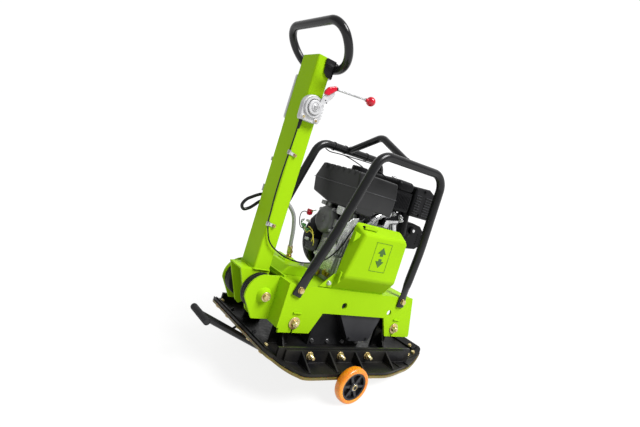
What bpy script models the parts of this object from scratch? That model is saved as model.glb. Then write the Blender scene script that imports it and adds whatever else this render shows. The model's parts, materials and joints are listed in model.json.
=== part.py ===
"""Reversible plate compactor, standing on its transport trolley.

Everything is modelled level, in the machine's own frame: X forward, Y to the left, Z up,
with the steel base plate's flat underside at Z = 0. The empty "machine" then pitches the
whole model nose down, so that the trolley's wheels and the front of the mat stand on the floor.
"""
import math

import bmesh
import bpy
from mathutils import Matrix, Vector

GAP = 0.0003            # clearance between pieces that touch
FACETS = 24             # sides of an ordinary round piece

# Pose on the floor
NOSE_DOWN = math.radians(12.0)

# Base plate, wings and mat
PLATE_HALF_WIDTH = 0.225
PLATE_REAR = -0.367
PLATE_FRONT = 0.385
PLATE_THICKNESS = 0.012
FLAT_HALF_LENGTH = 0.235        # the underside is flat up to here, then curves up
SLED_RADIUS = 0.265
SLED_STATIONS = (-0.380, -0.355, -0.33, -0.30, -0.27, -0.235, 0.235, 0.27, 0.30, 0.33, 0.362, 0.395)
WALL_HEIGHT = 0.058
WING_EDGE = 0.305
WING_THICKNESS = 0.010
WING_FLANGE_HEIGHT = 0.054
GUSSET_X = (-0.238, -0.123, -0.002, 0.155)
MAT_THICKNESS = 0.008
MAT_MARGIN = 0.004

# Rubber buffers
BUFFER_X = 0.245
BUFFER_Z = 0.112
BUFFER_RADIUS = 0.030
LUG_INNER_Y = 0.092
LUG_OUTER_Y = 0.104

# Exciter
DRIVE_SHAFT = (0.055, 0.105)    # (x, z)
DRIVEN_SHAFT = (-0.045, 0.105)
EXCITER_HALF_WIDTH = 0.085
EXCITER_COVER = 0.022
SHAFT_RADIUS = 0.015
BEARING_RADIUS = 0.032
GEAR_TEETH = 20
GEAR_PITCH_RADIUS = 0.050

# Belt drive
BELT_Y = (-0.138, -0.116)       # both pulleys' width
PULLEY_RADIUS = 0.047
GROOVE_RADIUS = 0.034

# Upper frame
PANEL_OUTER_Y = 0.157
PANEL_INNER_Y = 0.149
PANEL_BOTTOM = 0.077
PANEL_REAR = -0.300
DECK_TOP = 0.242
DECK_THICKNESS = 0.008
PIVOT = (-0.350, 0.175)         # drawbar pivot (x, z)
EAR_INNER_Y = 0.085
EAR_OUTER_Y = 0.093
EAR_RADIUS = 0.068
BOSS_Y = 0.109

# Roll cage
HOOP_Y = 0.1735
HOOP_RADIUS = 0.016
LIFTING_X = 0.020
LIFTING_RADIUS = 0.0135

# Engine
CRANK = (0.0, 0.375)            # (x, z)
CRANK_RADIUS = 0.0125
CASE_Y = (-0.098, 0.045)
FAN_Y = (0.0453, 0.115)
RECOIL_Y = (0.1153, 0.150)
FAN_RADIUS = 0.128
RECOIL_RADIUS = 0.100
FUEL_CAP_AT = (-0.040, 0.000, 0.6575)
RECOIL_GRIP = (0.106, 0.134, 0.440)

# Drawbar
DRAWBAR_REAR = -0.388
DRAWBAR_FRONT = -0.327
DRAWBAR_HALF_WIDTH = 0.049
DRAWBAR_BOTTOM = 0.2453
DRAWBAR_TOP = 0.967
DRAWBAR_WALL = 0.004
BRACKET_HALF_WIDTH = 0.044

# Handle and throttle
HANDLE_PIVOT = (-0.312, 0.942)
HANDLE_LEAN = math.radians(41.0)
HANDLE_TUBE = 0.014
THROTTLE_HUB = (-0.366, 0.801)
KNOB_AT = (-0.157, 0.894)
KNOB_RADIUS = 0.0165
LEVER_Y = (-0.0850, -0.0783)

# Trolley
WHEEL_X = -0.075
WHEEL_RADIUS = 0.0625
WHEEL_Y = (0.3135, 0.3435)
WHEEL_BORE = 0.0078
BAR = 0.025
GRIP_AT = (-0.502, 0.058)
GRIP_RADIUS = 0.0110
BAR_BEND = (-0.205, -0.068)

GREEN = (0.42, 0.75, 0.03)
BLACK = (0.022, 0.022, 0.024)
GREY = (0.05, 0.05, 0.053)
SILVER = (0.60, 0.61, 0.62)
ZINC = (0.60, 0.50, 0.25)
ORANGE = (0.85, 0.30, 0.03)
RED = (0.75, 0.02, 0.04)
AMBER = (0.45, 0.42, 0.10)
PALE_GREY = (0.55, 0.56, 0.57)
HOSE_GREY = (0.20, 0.20, 0.20)


def floor_contact():
    """Depth of the floor under the machine's origin, where the mat's front curve touches it."""
    return (-FLAT_HALF_LENGTH * math.sin(NOSE_DOWN) + SLED_RADIUS * math.cos(NOSE_DOWN)
            - (SLED_RADIUS + MAT_THICKNESS + GAP))


WHEEL_Z = (floor_contact() + WHEEL_RADIUS + WHEEL_X * math.sin(NOSE_DOWN)) / math.cos(NOSE_DOWN)


# ---------------------------------------------------------------- scene helpers

def clear_scene():
    for obj in list(bpy.data.objects):
        bpy.data.objects.remove(obj, do_unlink=True)


def make_material(name, colour, roughness, metallic):
    mat = bpy.data.materials.new(name)
    mat.use_nodes = True
    shader = mat.node_tree.nodes["Principled BSDF"]
    shader.inputs["Base Color"].default_value = (*colour, 1.0)
    shader.inputs["Roughness"].default_value = roughness
    shader.inputs["Metallic"].default_value = metallic
    return mat


def make_empty(name, parent=None, location=(0, 0, 0)):
    empty = bpy.data.objects.new(name, None)
    bpy.context.collection.objects.link(empty)
    empty.parent = parent
    empty.location = location
    return empty


class Body:
    """A rigid body: its parent empty sits on the joint's axis, its pieces use machine coordinates."""

    def __init__(self, name, parent, pivot=(0, 0, 0)):
        self.pivot = Vector(pivot)
        self.empty = make_empty(name, parent, self.pivot)

    def place(self, obj):
        bpy.context.collection.objects.link(obj)
        obj.parent = self.empty
        obj.location = -self.pivot
        return obj


def solid(body, name, bm, colour, roughness=0.5, metallic=0.0):
    mesh = bpy.data.meshes.new(name)
    bmesh.ops.recalc_face_normals(bm, faces=bm.faces)
    bm.to_mesh(mesh)
    bm.free()
    mesh.shade_smooth()
    mesh.set_sharp_from_angle(angle=math.radians(35))
    obj = body.place(bpy.data.objects.new(name, mesh))
    mesh.materials.append(make_material(name, colour, roughness, metallic))
    return obj


def combine(obj, bm, operation):
    """Join another shape to an object, or cut it away, with a hidden operand."""
    mesh = bpy.data.meshes.new(obj.name + "_operand")
    bmesh.ops.recalc_face_normals(bm, faces=bm.faces)
    bm.to_mesh(mesh)
    bm.free()
    operand = bpy.data.objects.new(mesh.name, mesh)
    bpy.context.collection.objects.link(operand)
    operand.parent = obj.parent
    operand.location = obj.location
    operand.hide_render = True
    operand.display_type = "WIRE"
    modifier = obj.modifiers.new(operation.title(), "BOOLEAN")
    modifier.operation = operation
    modifier.object = operand
    return obj


def add_to(obj, bm):
    return combine(obj, bm, "UNION")


def cut_from(obj, bm):
    return combine(obj, bm, "DIFFERENCE")


# ---------------------------------------------------------------- shapes

def prism(outline, low, high, axis="Y"):
    """Extrude a flat outline: (x, z) points along Y, (x, y) along Z, (y, z) along X."""
    def point(p, depth):
        return {"X": (depth, p[0], p[1]), "Y": (p[0], depth, p[1]), "Z": (p[0], p[1], depth)}[axis]
    bm = bmesh.new()
    bottom = [bm.verts.new(point(p, low)) for p in outline]
    top = [bm.verts.new(point(p, high)) for p in outline]
    bm.faces.new(bottom)
    bm.faces.new(top)
    for i in range(len(outline)):
        j = (i + 1) % len(outline)
        bm.faces.new((bottom[i], bottom[j], top[j], top[i]))
    return bm


def box(x, y, z):
    return prism([(x[0], y[0]), (x[1], y[0]), (x[1], y[1]), (x[0], y[1])], z[0], z[1], "Z")


def arc(centre, radius, start, end, steps):
    """Points on an arc, angles in degrees, both ends included."""
    angles = [math.radians(start + (end - start) * i / steps) for i in range(steps + 1)]
    return [(centre[0] + radius * math.cos(a), centre[1] + radius * math.sin(a)) for a in angles]


def turned(profile, centre, closed=False, facets=FACETS):
    """Turn (radius, y) points about an axis along Y through centre (x, z).

    An open profile starts and ends on the axis; a closed one makes a ring with a bore.
    """
    bm = bmesh.new()
    rings = []
    for radius, depth in profile:
        if radius == 0.0:
            rings.append([bm.verts.new((centre[0], depth, centre[1]))])
            continue
        circle = arc(centre, radius, 0, 360, facets)[:-1]
        rings.append([bm.verts.new((x, depth, z)) for x, z in circle])
    pairs = list(zip(rings, rings[1:]))
    if closed:
        pairs.append((rings[-1], rings[0]))
    for lower, upper in pairs:
        for i in range(facets):
            j = (i + 1) % facets
            corners = [lower[i % len(lower)], lower[j % len(lower)],
                       upper[j % len(upper)], upper[i % len(upper)]]
            bm.faces.new(list(dict.fromkeys(corners)))
    return bm


def rod(centre, radius, y, facets=FACETS):
    return turned([(0.0, y[0]), (radius, y[0]), (radius, y[1]), (0.0, y[1])], centre, facets=facets)


def ring(centre, inner, outer, y, facets=FACETS):
    return turned([(inner, y[0]), (outer, y[0]), (outer, y[1]), (inner, y[1])], centre, True, facets)


def strut(start, end, size, half_width):
    """A bar between two (x, z) points, size tall, from -half_width to half_width in Y."""
    along = (Vector(end) - Vector(start)).normalized()
    side = Vector((-along.y, along.x)) * size / 2
    corners = [Vector(start) + side, Vector(start) - side, Vector(end) - side, Vector(end) + side]
    return prism([tuple(c) for c in corners], -half_width, half_width)


def round_corners(points, radius, steps, closed=False):
    """Replace the corners of a path of 3-D points by arcs."""
    points = [Vector(p) for p in points]
    count = len(points)
    path = []
    for i, corner in enumerate(points):
        if not closed and i in (0, count - 1):
            path.append(corner)
            continue
        back = (points[i - 1] - corner).normalized()
        ahead = (points[(i + 1) % count] - corner).normalized()
        half = back.angle(ahead) / 2
        setback = radius / math.tan(half)
        middle = corner + (back + ahead).normalized() * radius / math.sin(half)
        first = corner + back * setback - middle
        turn = first.cross(corner + ahead * setback - middle)
        sweep = math.pi - 2 * half
        for k in range(steps + 1):
            path.append(middle + Matrix.Rotation(sweep * k / steps, 3, turn) @ first)
    return path


def smooth_path(points, steps):
    """A smooth curve through the route's points (Catmull-Rom)."""
    points = [Vector(p) for p in points]
    ends = [points[0] * 2 - points[1]] + points + [points[-1] * 2 - points[-2]]
    path = []
    for i in range(1, len(ends) - 2):
        a, b, c, d = ends[i - 1:i + 3]
        for k in range(steps):
            t = k / steps
            path.append(0.5 * (2 * b + (c - a) * t + (2 * a - 5 * b + 4 * c - d) * t ** 2
                               + (3 * b - a - 3 * c + d) * t ** 3))
    path.append(points[-1])
    return path


def tube(body, name, path, radius, colour, roughness, closed=False, resolution=2, metallic=0.0):
    curve = bpy.data.curves.new(name, "CURVE")
    curve.dimensions = "3D"
    curve.bevel_depth = radius
    curve.bevel_resolution = resolution
    curve.use_fill_caps = True
    spline = curve.splines.new("POLY")
    spline.points.add(len(path) - 1)
    for spline_point, place in zip(spline.points, path):
        spline_point.co = (*place, 1.0)
    spline.use_cyclic_u = closed
    curve.materials.append(make_material(name, colour, roughness, metallic))
    return body.place(bpy.data.objects.new(name, curve))


# ---------------------------------------------------------------- base plate, wings and mat

def sled_height(x):
    """Height of the steel plate's underside: flat, then a circular curve up at both ends."""
    run = max(abs(x) - FLAT_HALF_LENGTH, 0.0)
    return SLED_RADIUS - math.sqrt(SLED_RADIUS ** 2 - run ** 2)


def sled_stations(rear, front):
    return [rear] + [x for x in SLED_STATIONS if rear < x < front] + [front]


def sled_sheet(half_width, low, high):
    """A sheet that follows the underside between two heights above it; a plan trims it."""
    lower = [(x, sled_height(x) + low) for x in SLED_STATIONS]
    upper = [(x, sled_height(x) + high) for x in reversed(SLED_STATIONS)]
    return prism(lower + upper, -half_width, half_width)


def sled_wall(rear, front, y, low, top):
    """An upright wall that follows the underside below and is level on top."""
    lower = [(x, sled_height(x) + low) for x in sled_stations(rear, front)]
    return prism(lower + [(front, top), (rear, top)], *y)


def trim(obj, plan):
    return combine(obj, prism(plan, -0.05, 0.2, "Z"), "INTERSECT")


def rectangle(rear, front, half_width):
    return [(rear, -half_width), (front, -half_width), (front, half_width), (rear, half_width)]


def wing_plan(margin=0.0):
    """The near edge of wing and mat in plan, from rear to front, as (x, distance from centre)."""
    edge = WING_EDGE + margin
    return ([(-0.335 - margin, PLATE_HALF_WIDTH), (-0.312 - margin, 0.268 + margin)]
            + arc((-0.262, edge - 0.05), 0.05, 135, 90, 4)
            + [(0.10, edge), (0.215, edge - 0.028), (0.30, 0.252 + margin),
               (0.362 + margin, PLATE_HALF_WIDTH)])


def plate_plan(half_width):
    """The plate's own outline in plan, with cut corners."""
    rear, front, corner = PLATE_REAR, PLATE_FRONT, 0.025
    return [(rear, -half_width + corner), (rear + corner, -half_width),
            (front - corner, -half_width), (front, -half_width + corner),
            (front, half_width - corner), (front - corner, half_width),
            (rear + corner, half_width), (rear, half_width - corner)]


def build_base(body):
    base = solid(body, "base_plate", sled_sheet(PLATE_HALF_WIDTH, 0.0, PLATE_THICKNESS), BLACK, 0.35)
    trim(base, plate_plan(PLATE_HALF_WIDTH + 0.001))
    wall = PLATE_HALF_WIDTH - 0.0005
    for side in (-1, 1):
        y = sorted((side * wall, side * (wall - 0.010)))
        add_to(base, sled_wall(-0.325, 0.300, y, 0.004, WALL_HEIGHT))
        for end in (-1, 1):
            x = end * BUFFER_X
            outline = [(x - 0.036, 0.010), (x + 0.036, 0.010), (x + 0.036, 0.120),
                       (x + 0.022, 0.140), (x - 0.022, 0.140), (x - 0.036, 0.120)]
            add_to(base, prism(outline, *sorted((side * LUG_INNER_Y, side * LUG_OUTER_Y))))

    for side, name in ((-1, "wing_right"), (1, "wing_left")):
        build_wing(body, name, side)

    mat = solid(body, "paving_mat", sled_sheet(WING_EDGE + 0.01, -MAT_THICKNESS - GAP, -GAP),
                AMBER, 0.45)
    right = [(x, -y) for x, y in wing_plan(MAT_MARGIN)]
    left = [(x, y) for x, y in reversed(wing_plan(MAT_MARGIN))]
    rear, front = PLATE_REAR - MAT_MARGIN, PLATE_FRONT + MAT_MARGIN
    trim(mat, [(rear, -0.2)] + right + [(front, -0.2), (front, 0.2)] + left + [(rear, 0.2)])

    for name, rear, front in (("mat_clamp_rear", -0.361, -0.338), ("mat_clamp_front", 0.352, 0.377)):
        top = PLATE_THICKNESS + GAP
        clamp = solid(body, name, sled_sheet(0.195, top, top + 0.006), ZINC, 0.4, 0.8)
        trim(clamp, rectangle(rear, front, 0.2))


def build_wing(body, name, side):
    inner = PLATE_HALF_WIDTH + GAP
    outline = [(x, side * max(y, inner)) for x, y in wing_plan()]
    wing = solid(body, name, sled_sheet(WING_EDGE + 0.01, 0.0, WING_THICKNESS), BLACK, 0.35)
    trim(wing, outline)
    flange = sorted((side * inner, side * (inner + 0.008)))
    add_to(wing, sled_wall(-0.300, 0.265, flange, 0.003, WING_FLANGE_HEIGHT))
    for x in GUSSET_X:
        outer = WING_EDGE - 0.006
        slope = [(side * (inner + 0.004), 0.004), (side * outer, 0.004), (side * outer, 0.013),
                 (side * (inner + 0.004), WING_FLANGE_HEIGHT - 0.002)]
        add_to(wing, prism(slope, x - 0.003, x + 0.003, "X"))


# ---------------------------------------------------------------- exciter and belt

def gear_outline(centre, phase):
    """Thin teeth about the pitch circle, which run with backlash at every angle."""
    root, tip = GEAR_PITCH_RADIUS - 0.0055, GEAR_PITCH_RADIUS + 0.0040
    pitch = 2 * math.pi / GEAR_TEETH
    points = []
    for tooth in range(GEAR_TEETH):
        for radius, offset in ((root, -0.26), (tip, -0.10), (tip, 0.10), (root, 0.26)):
            angle = phase + (tooth + offset) * pitch
            points.append((centre[0] + radius * math.cos(angle), centre[1] + radius * math.sin(angle)))
    return points


def build_exciter(base, drive, driven):
    x, z, half = (-0.120, 0.130), (PLATE_THICKNESS + GAP, 0.190), EXCITER_HALF_WIDTH
    housing = solid(base, "exciter_housing", box(x, (-half, half), z), GREY, 0.45, 0.3)
    cut_from(housing, box((x[0] + 0.012, x[1] - 0.012), (-half - 0.01, half + 0.01),
                          (z[0] + 0.012, z[1] - 0.012)))
    bearing_y = 0.0135
    for side, word in ((-1, "right"), (1, "left")):
        near, far = half + GAP, half + EXCITER_COVER
        cover = solid(base, "exciter_cover_" + word,
                      box(x, sorted((side * near, side * far)), z), BLACK, 0.4, 0.3)
        for shaft, label in ((DRIVE_SHAFT, "drive"), (DRIVEN_SHAFT, "driven")):
            pocket = sorted((side * (near - 0.005), side * (near + bearing_y + GAP)))
            cut_from(cover, rod(shaft, BEARING_RADIUS + GAP, pocket))
            span = sorted((side * near, side * (near + bearing_y)))
            solid(base, f"{label}_bearing_{word}",
                  ring(shaft, SHAFT_RADIUS + GAP, BEARING_RADIUS, span), SILVER, 0.25, 1.0)
        if side < 0:
            cut_from(cover, rod(DRIVE_SHAFT, SHAFT_RADIUS + 0.0015, (-far - 0.01, -near)))

    for body, shaft, label, phase, reach in (
            (drive, DRIVE_SHAFT, "drive", 0.0, -0.141),
            (driven, DRIVEN_SHAFT, "driven", math.pi / GEAR_TEETH, -0.0985)):
        piece = solid(body, label + "_eccentric_shaft", rod(shaft, SHAFT_RADIUS, (reach, 0.0985)),
                      SILVER, 0.3, 1.0)
        hang = math.degrees(NOSE_DOWN)     # the weights hang straight down at rest
        weight = arc(shaft, 0.042, 180 + hang, 360 + hang, 12)
        add_to(piece, prism(weight, -0.045, 0.045))
        gear = solid(body, label + "_gear", prism(gear_outline(shaft, phase), 0.052, 0.070),
                     SILVER, 0.3, 1.0)
        cut_from(gear, rod(shaft, SHAFT_RADIUS + GAP, (0.04, 0.08)))
    solid(drive, "exciter_pulley", pulley(DRIVE_SHAFT, SHAFT_RADIUS + GAP), GREY, 0.4, 0.6)


def groove_profile():
    low, high = BELT_Y
    middle = (low + high) / 2
    return [(PULLEY_RADIUS, low), (PULLEY_RADIUS, low + 0.003), (GROOVE_RADIUS, middle - 0.004),
            (GROOVE_RADIUS, middle + 0.004), (PULLEY_RADIUS, high - 0.003), (PULLEY_RADIUS, high)]


def pulley(centre, bore):
    return turned([(bore, BELT_Y[0])] + groove_profile() + [(bore, BELT_Y[1])], centre, True)


def belt_outline(radius, steps):
    """A loop around both pulleys at one radius."""
    top, bottom = Vector(CRANK), Vector(DRIVE_SHAFT)
    run = top - bottom
    heading = math.degrees(math.atan2(run.y, run.x))
    return (arc(top, radius, heading - 90, heading + 90, steps)
            + arc(bottom, radius, heading + 90, heading + 270, steps))


def build_belt(body):
    middle = sum(BELT_Y) / 2
    belt = solid(body, "v_belt", prism(belt_outline(0.0465, 12), middle - 0.0033, middle + 0.0033),
                 BLACK, 0.8)
    cut_from(belt, prism(belt_outline(0.0385, 12), middle - 0.01, middle + 0.01))


def build_lower_guard(body):
    outer_y, inner_y = -(PANEL_INNER_Y - 0.003), -(EXCITER_HALF_WIDTH + EXCITER_COVER + GAP)

    outside = [(-0.061, 0.216), (-0.046, 0.152), (0.026, 0.055), (0.036, 0.048), (0.128, 0.047),
               (0.138, 0.054), (0.168, 0.145), (0.171, 0.216)]
    inside = [(-0.0636, 0.240), (-0.0427, 0.1515), (0.0283, 0.0565), (0.0370, 0.0510), (0.1265, 0.0500),
              (0.1353, 0.0560), (0.1650, 0.1455), (0.1690, 0.240)]
    guard = solid(body, "belt_guard_lower", prism(outside, outer_y, inner_y), GREY, 0.5)
    cut_from(guard, prism(inside, outer_y + 0.003, inner_y + 0.01))


# ---------------------------------------------------------------- upper frame

def build_frame_side(body, name, side):
    y = sorted((side * PANEL_INNER_Y, side * PANEL_OUTER_Y))
    bottom, rear, top = PANEL_BOTTOM, PANEL_REAR, DECK_TOP
    slot = 0.003
    outline = [(rear, bottom), (-BUFFER_X - slot, bottom), (-BUFFER_X - slot, bottom + 0.020),
               (-BUFFER_X + slot, bottom + 0.020), (-BUFFER_X + slot, bottom), (-0.171, bottom),
               (-0.136, 0.152), (0.171, 0.152), (0.208, bottom), (BUFFER_X - slot, bottom),
               (BUFFER_X - slot, bottom + 0.020), (BUFFER_X + slot, bottom + 0.020),
               (BUFFER_X + slot, bottom), (0.348, bottom), (0.350, 0.086), (0.303, top), (rear, top)]
    panel = solid(body, name, prism(outline, *y), GREEN, 0.35)
    for x, z, radius in ((-0.048, 0.185, 0.0125), (0.192, 0.174, 0.0115)):
        cut_from(panel, rod((x, z), radius, (y[0] - 0.01, y[1] + 0.01), 16))

    link_y = sorted((side * EAR_INNER_Y, side * PANEL_OUTER_Y))
    add_to(panel, box((rear - 0.008, rear + 0.0005), link_y, (0.092, 0.245)))
    px, pz = PIVOT
    ear = ([(-0.300, 0.093), (-0.300, 0.245)] + arc(PIVOT, EAR_RADIUS, 80, 190, 10)
           + [(px - 0.022, 0.093)])
    add_to(panel, prism(ear, *sorted((side * EAR_INNER_Y, side * EAR_OUTER_Y))))
    boss = turned([(0.0, side * (EAR_OUTER_Y - 0.001)), (0.027, side * (EAR_OUTER_Y - 0.001)),
                   (0.027, side * EAR_OUTER_Y), (0.018, side * BOSS_Y), (0.0, side * BOSS_Y)], PIVOT)
    add_to(panel, boss)
    cut_from(panel, rod(PIVOT, 0.0102, sorted((side * 0.07, side * 0.13))))


def build_upper_frame(body):
    build_frame_side(body, "frame_side_right", -1)
    build_frame_side(body, "frame_side_left", 1)
    edge = PANEL_INNER_Y - GAP
    deck = solid(body, "engine_deck", box((-0.2995, 0.297), (-edge, edge),
                                          (DECK_TOP - DECK_THICKNESS, DECK_TOP)), GREEN, 0.35)
    cut_from(deck, box((-0.060, 0.115), (-0.155, -0.105), (0.20, 0.26)))

    for side, word in ((-1, "right"), (1, "left")):
        for end, place in ((-1, "rear"), (1, "front")):
            span = sorted((side * (LUG_OUTER_Y + GAP), side * (PANEL_INNER_Y - GAP)))
            solid(body, f"rubber_buffer_{place}_{word}",
                  rod((end * BUFFER_X, BUFFER_Z), BUFFER_RADIUS, span), BLACK, 0.85)

    solid(body, "pivot_axle",
          turned([(0.0, -0.120), (0.0155, -0.120), (0.0155, -BOSS_Y - GAP), (0.0096, -BOSS_Y - GAP),
                  (0.0096, BOSS_Y + GAP), (0.0155, BOSS_Y + GAP), (0.0155, 0.120), (0.0, 0.120)],
                 PIVOT), ZINC, 0.35, 1.0)
    for side, word in ((-1, "right"), (1, "left")):
        span = sorted((side * (BRACKET_HALF_WIDTH + 0.0005), side * (EAR_INNER_Y - GAP)))
        solid(body, "pivot_rubber_" + word, ring(PIVOT, 0.0102, 0.062, span), BLACK, 0.85)


def build_belt_cover(body):
    """A pressed cover with sloping sides, open towards the engine."""
    def shell(inset, back, face):
        back_outline = [(-0.135 + inset, 0.2445 + inset), (0.136 - inset, 0.2445 + inset),
                        (0.136 - inset, 0.468 - inset), (0.112 - inset, 0.489 - inset),
                        (-0.108 + inset, 0.489 - inset)]
        face_outline = [(-0.128 + inset, 0.300 + inset / 2), (0.128 - inset, 0.300 + inset / 2),
                        (0.122 - inset, 0.452 - inset), (0.100 - inset, 0.466 - inset),
                        (-0.088 + inset, 0.460 - inset)]
        bm = bmesh.new()
        loops = [[bm.verts.new((px, y, pz)) for px, pz in points]
                 for points, y in ((back_outline, back), (face_outline, face))]
        bm.faces.new(loops[0])
        bm.faces.new(loops[1])
        for i in range(len(back_outline)):
            j = (i + 1) % len(back_outline)
            bm.faces.new((loops[0][i], loops[0][j], loops[1][j], loops[1][i]))
        return bm

    cover = solid(body, "belt_cover", shell(0.0, -0.1500, -0.1945), GREEN, 0.35)
    cut_from(cover, shell(0.0025, -0.1400, -0.1920))


def build_roll_cage(body):
    for side, word, rear_corner in ((-1, "right", -0.115), (1, "left", -0.130)):
        y = side * HOOP_Y
        corners = [(-0.274, y, 0.206), (rear_corner, y, 0.731), (0.226, y, 0.740), (0.236, y, 0.203)]
        tube(body, "roll_hoop_" + word, round_corners(corners, 0.060, 6), HOOP_RADIUS, BLACK, 0.4)
    end, height = HOOP_Y - HOOP_RADIUS - 0.0012, 0.745
    peak = [(LIFTING_X, -end, height - 0.004), (LIFTING_X, 0.0, 0.812), (LIFTING_X, end, height - 0.004)]
    tube(body, "lifting_bar", round_corners(peak, 0.050, 5), LIFTING_RADIUS, BLACK, 0.4)


# ---------------------------------------------------------------- engine

def build_engine(body, crank, cap, handle):
    foot = DECK_TOP + GAP
    outline = [(-0.100, foot), (0.100, foot), (0.100, 0.262), (0.085, 0.275), (0.085, 0.450),
               (0.050, 0.476), (-0.050, 0.476), (-0.088, 0.440), (-0.088, 0.275), (-0.100, 0.262)]
    case = solid(body, "crankcase", prism(outline, *CASE_Y), SILVER, 0.45, 0.8)
    cut_from(case, rod(CRANK, CRANK_RADIUS + 0.001, (-0.2, 0.2)))

    outline = [(0.0853, 0.325), (0.170, 0.360), (0.222, 0.500), (0.212, 0.548),
               (0.120, 0.548), (0.0853, 0.500)]
    solid(body, "cylinder_head", prism(outline, -0.072, 0.040), SILVER, 0.5, 0.8)
    solid(body, "spark_plug_cap", box((0.2265, 0.285), (-0.062, -0.024), (0.455, 0.500)), BLACK, 0.6)

    fan = solid(body, "fan_housing", rod(CRANK, FAN_RADIUS, FAN_Y, 32), GREY, 0.4, 0.2)
    cut_from(fan, rod(CRANK, CRANK_RADIUS + 0.001, (0.0, 0.13)))
    solid(body, "recoil_cover",
          turned([(0.0, RECOIL_Y[0]), (RECOIL_RADIUS, RECOIL_Y[0]), (RECOIL_RADIUS, 0.135),
                  (0.078, RECOIL_Y[1]), (0.0, RECOIL_Y[1])], CRANK), GREY, 0.4, 0.2)

    tank = [(-0.094, 0.534), (0.050, 0.5185), (0.161, 0.543), (0.175, 0.600), (0.146, 0.657),
            (-0.084, 0.657), (-0.094, 0.600)]
    solid(body, "fuel_tank", prism(tank, -0.102, 0.098, "X"), GREY, 0.4)
    solid(body, "air_cleaner", box((0.106, 0.200), (-0.080, 0.095), (0.562, 0.688)), BLACK, 0.55)
    muffler = [(0.206, 0.566), (0.338, 0.566), (0.350, 0.580), (0.350, 0.640), (0.318, 0.676),
               (0.206, 0.680)]
    solid(body, "muffler", prism(muffler, -0.085, 0.060), BLACK, 0.5, 0.3)

    solid(crank, "crankshaft", rod(CRANK, CRANK_RADIUS, (-0.184, 0.110)), SILVER, 0.3, 1.0)
    bore = CRANK_RADIUS + GAP
    drum = [(bore, -0.180), (0.064, -0.180), (0.064, -0.143), (0.030, -0.143), (0.030, BELT_Y[0])]
    profile = drum + groove_profile() + [(bore, BELT_Y[1])]
    solid(crank, "clutch_drum", turned(profile, CRANK, True), GREY, 0.4, 0.6)

    bm = bmesh.new()
    bmesh.ops.create_cone(bm, cap_ends=True, segments=FACETS, radius1=0.032, radius2=0.029,
                          depth=0.022, matrix=Matrix.Translation(Vector(FUEL_CAP_AT)
                                                                 + Vector((0, 0, 0.0113))))
    solid(cap, "fuel_cap", bm, BLACK, 0.5)
    bm = bmesh.new()
    bmesh.ops.create_cone(bm, cap_ends=True, segments=12, radius1=0.0095, radius2=0.0095,
                          depth=0.070, matrix=Matrix.Translation(RECOIL_GRIP))
    solid(handle, "recoil_handle", bm, BLACK, 0.6)


# ---------------------------------------------------------------- drawbar, handle and throttle

def build_drawbar(body):
    wide = DRAWBAR_HALF_WIDTH
    bar = solid(body, "drawbar_tube", box((DRAWBAR_REAR, DRAWBAR_FRONT), (-wide, wide),
                                          (DRAWBAR_BOTTOM, DRAWBAR_TOP)), GREEN, 0.35)
    cut_from(bar, box((DRAWBAR_REAR + DRAWBAR_WALL, DRAWBAR_FRONT - DRAWBAR_WALL),
                      (-wide + DRAWBAR_WALL, wide - DRAWBAR_WALL),
                      (DRAWBAR_BOTTOM - 0.01, DRAWBAR_TOP - DRAWBAR_WALL)))
    wide = BRACKET_HALF_WIDTH
    outline = [(-0.431, 0.238), (-0.431, 0.2415), (-0.390, 0.245), (-0.322, 0.245), (-0.322, 0.150),
               (-0.336, 0.104), (-0.357, 0.092), (-0.372, 0.104)]
    bracket = solid(body, "drawbar_bracket", prism(outline, -wide, wide), GREEN, 0.35)
    cut_from(bracket, box((-0.50, -0.330), (-wide + 0.008, wide - 0.008), (0.05, 0.237)))
    cut_from(bracket, rod(PIVOT, 0.0102, (-0.06, 0.06)))
    solid(body, "document_holder", box((-0.388, -0.330), (0.0493, 0.0613), (0.750, 0.903)),
          PALE_GREY, 0.4)
    x, z = HANDLE_PIVOT
    clamp = solid(body, "handle_clamp", box((DRAWBAR_FRONT + GAP, x + 0.021), (-0.028, 0.028),
                                            (z - 0.026, z + 0.0235)), BLACK, 0.45)
    outer = DRAWBAR_HALF_WIDTH + GAP + 0.006
    add_to(clamp, box((DRAWBAR_FRONT + GAP + 0.0002, DRAWBAR_FRONT + 0.0055), (-outer, outer),
                      (z - 0.0320, z + 0.0225)))
    for side in (-1, 1):
        cheek = sorted((side * (outer - 0.006), side * (outer + 0.0002)))
        add_to(clamp, box((DRAWBAR_FRONT - 0.025, DRAWBAR_FRONT + 0.0050), cheek, (z - 0.0325, z + 0.0230)))
    cut_from(clamp, rod(HANDLE_PIVOT, HANDLE_TUBE + 0.0009, (-0.06, 0.06)))


def build_ring_handle(body):
    """A ring with a straight grip across its top and a rounder bottom, leaning back."""
    wide, tall, top, bottom = 0.152, 0.154, 0.054, 0.098
    outline = (arc((wide - bottom, bottom), bottom, -90, 0, 8) + arc((wide - top, tall - top), top, 0, 90, 7)
               + arc((top - wide, tall - top), top, 90, 180, 7)
               + arc((bottom - wide, bottom), bottom, 180, 270, 8))
    path = [(HANDLE_PIVOT[0] - up * math.sin(HANDLE_LEAN), y,
             HANDLE_PIVOT[1] + up * math.cos(HANDLE_LEAN)) for y, up in outline]
    tube(body, "ring_handle", path, HANDLE_TUBE, BLACK, 0.4, closed=True)


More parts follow.
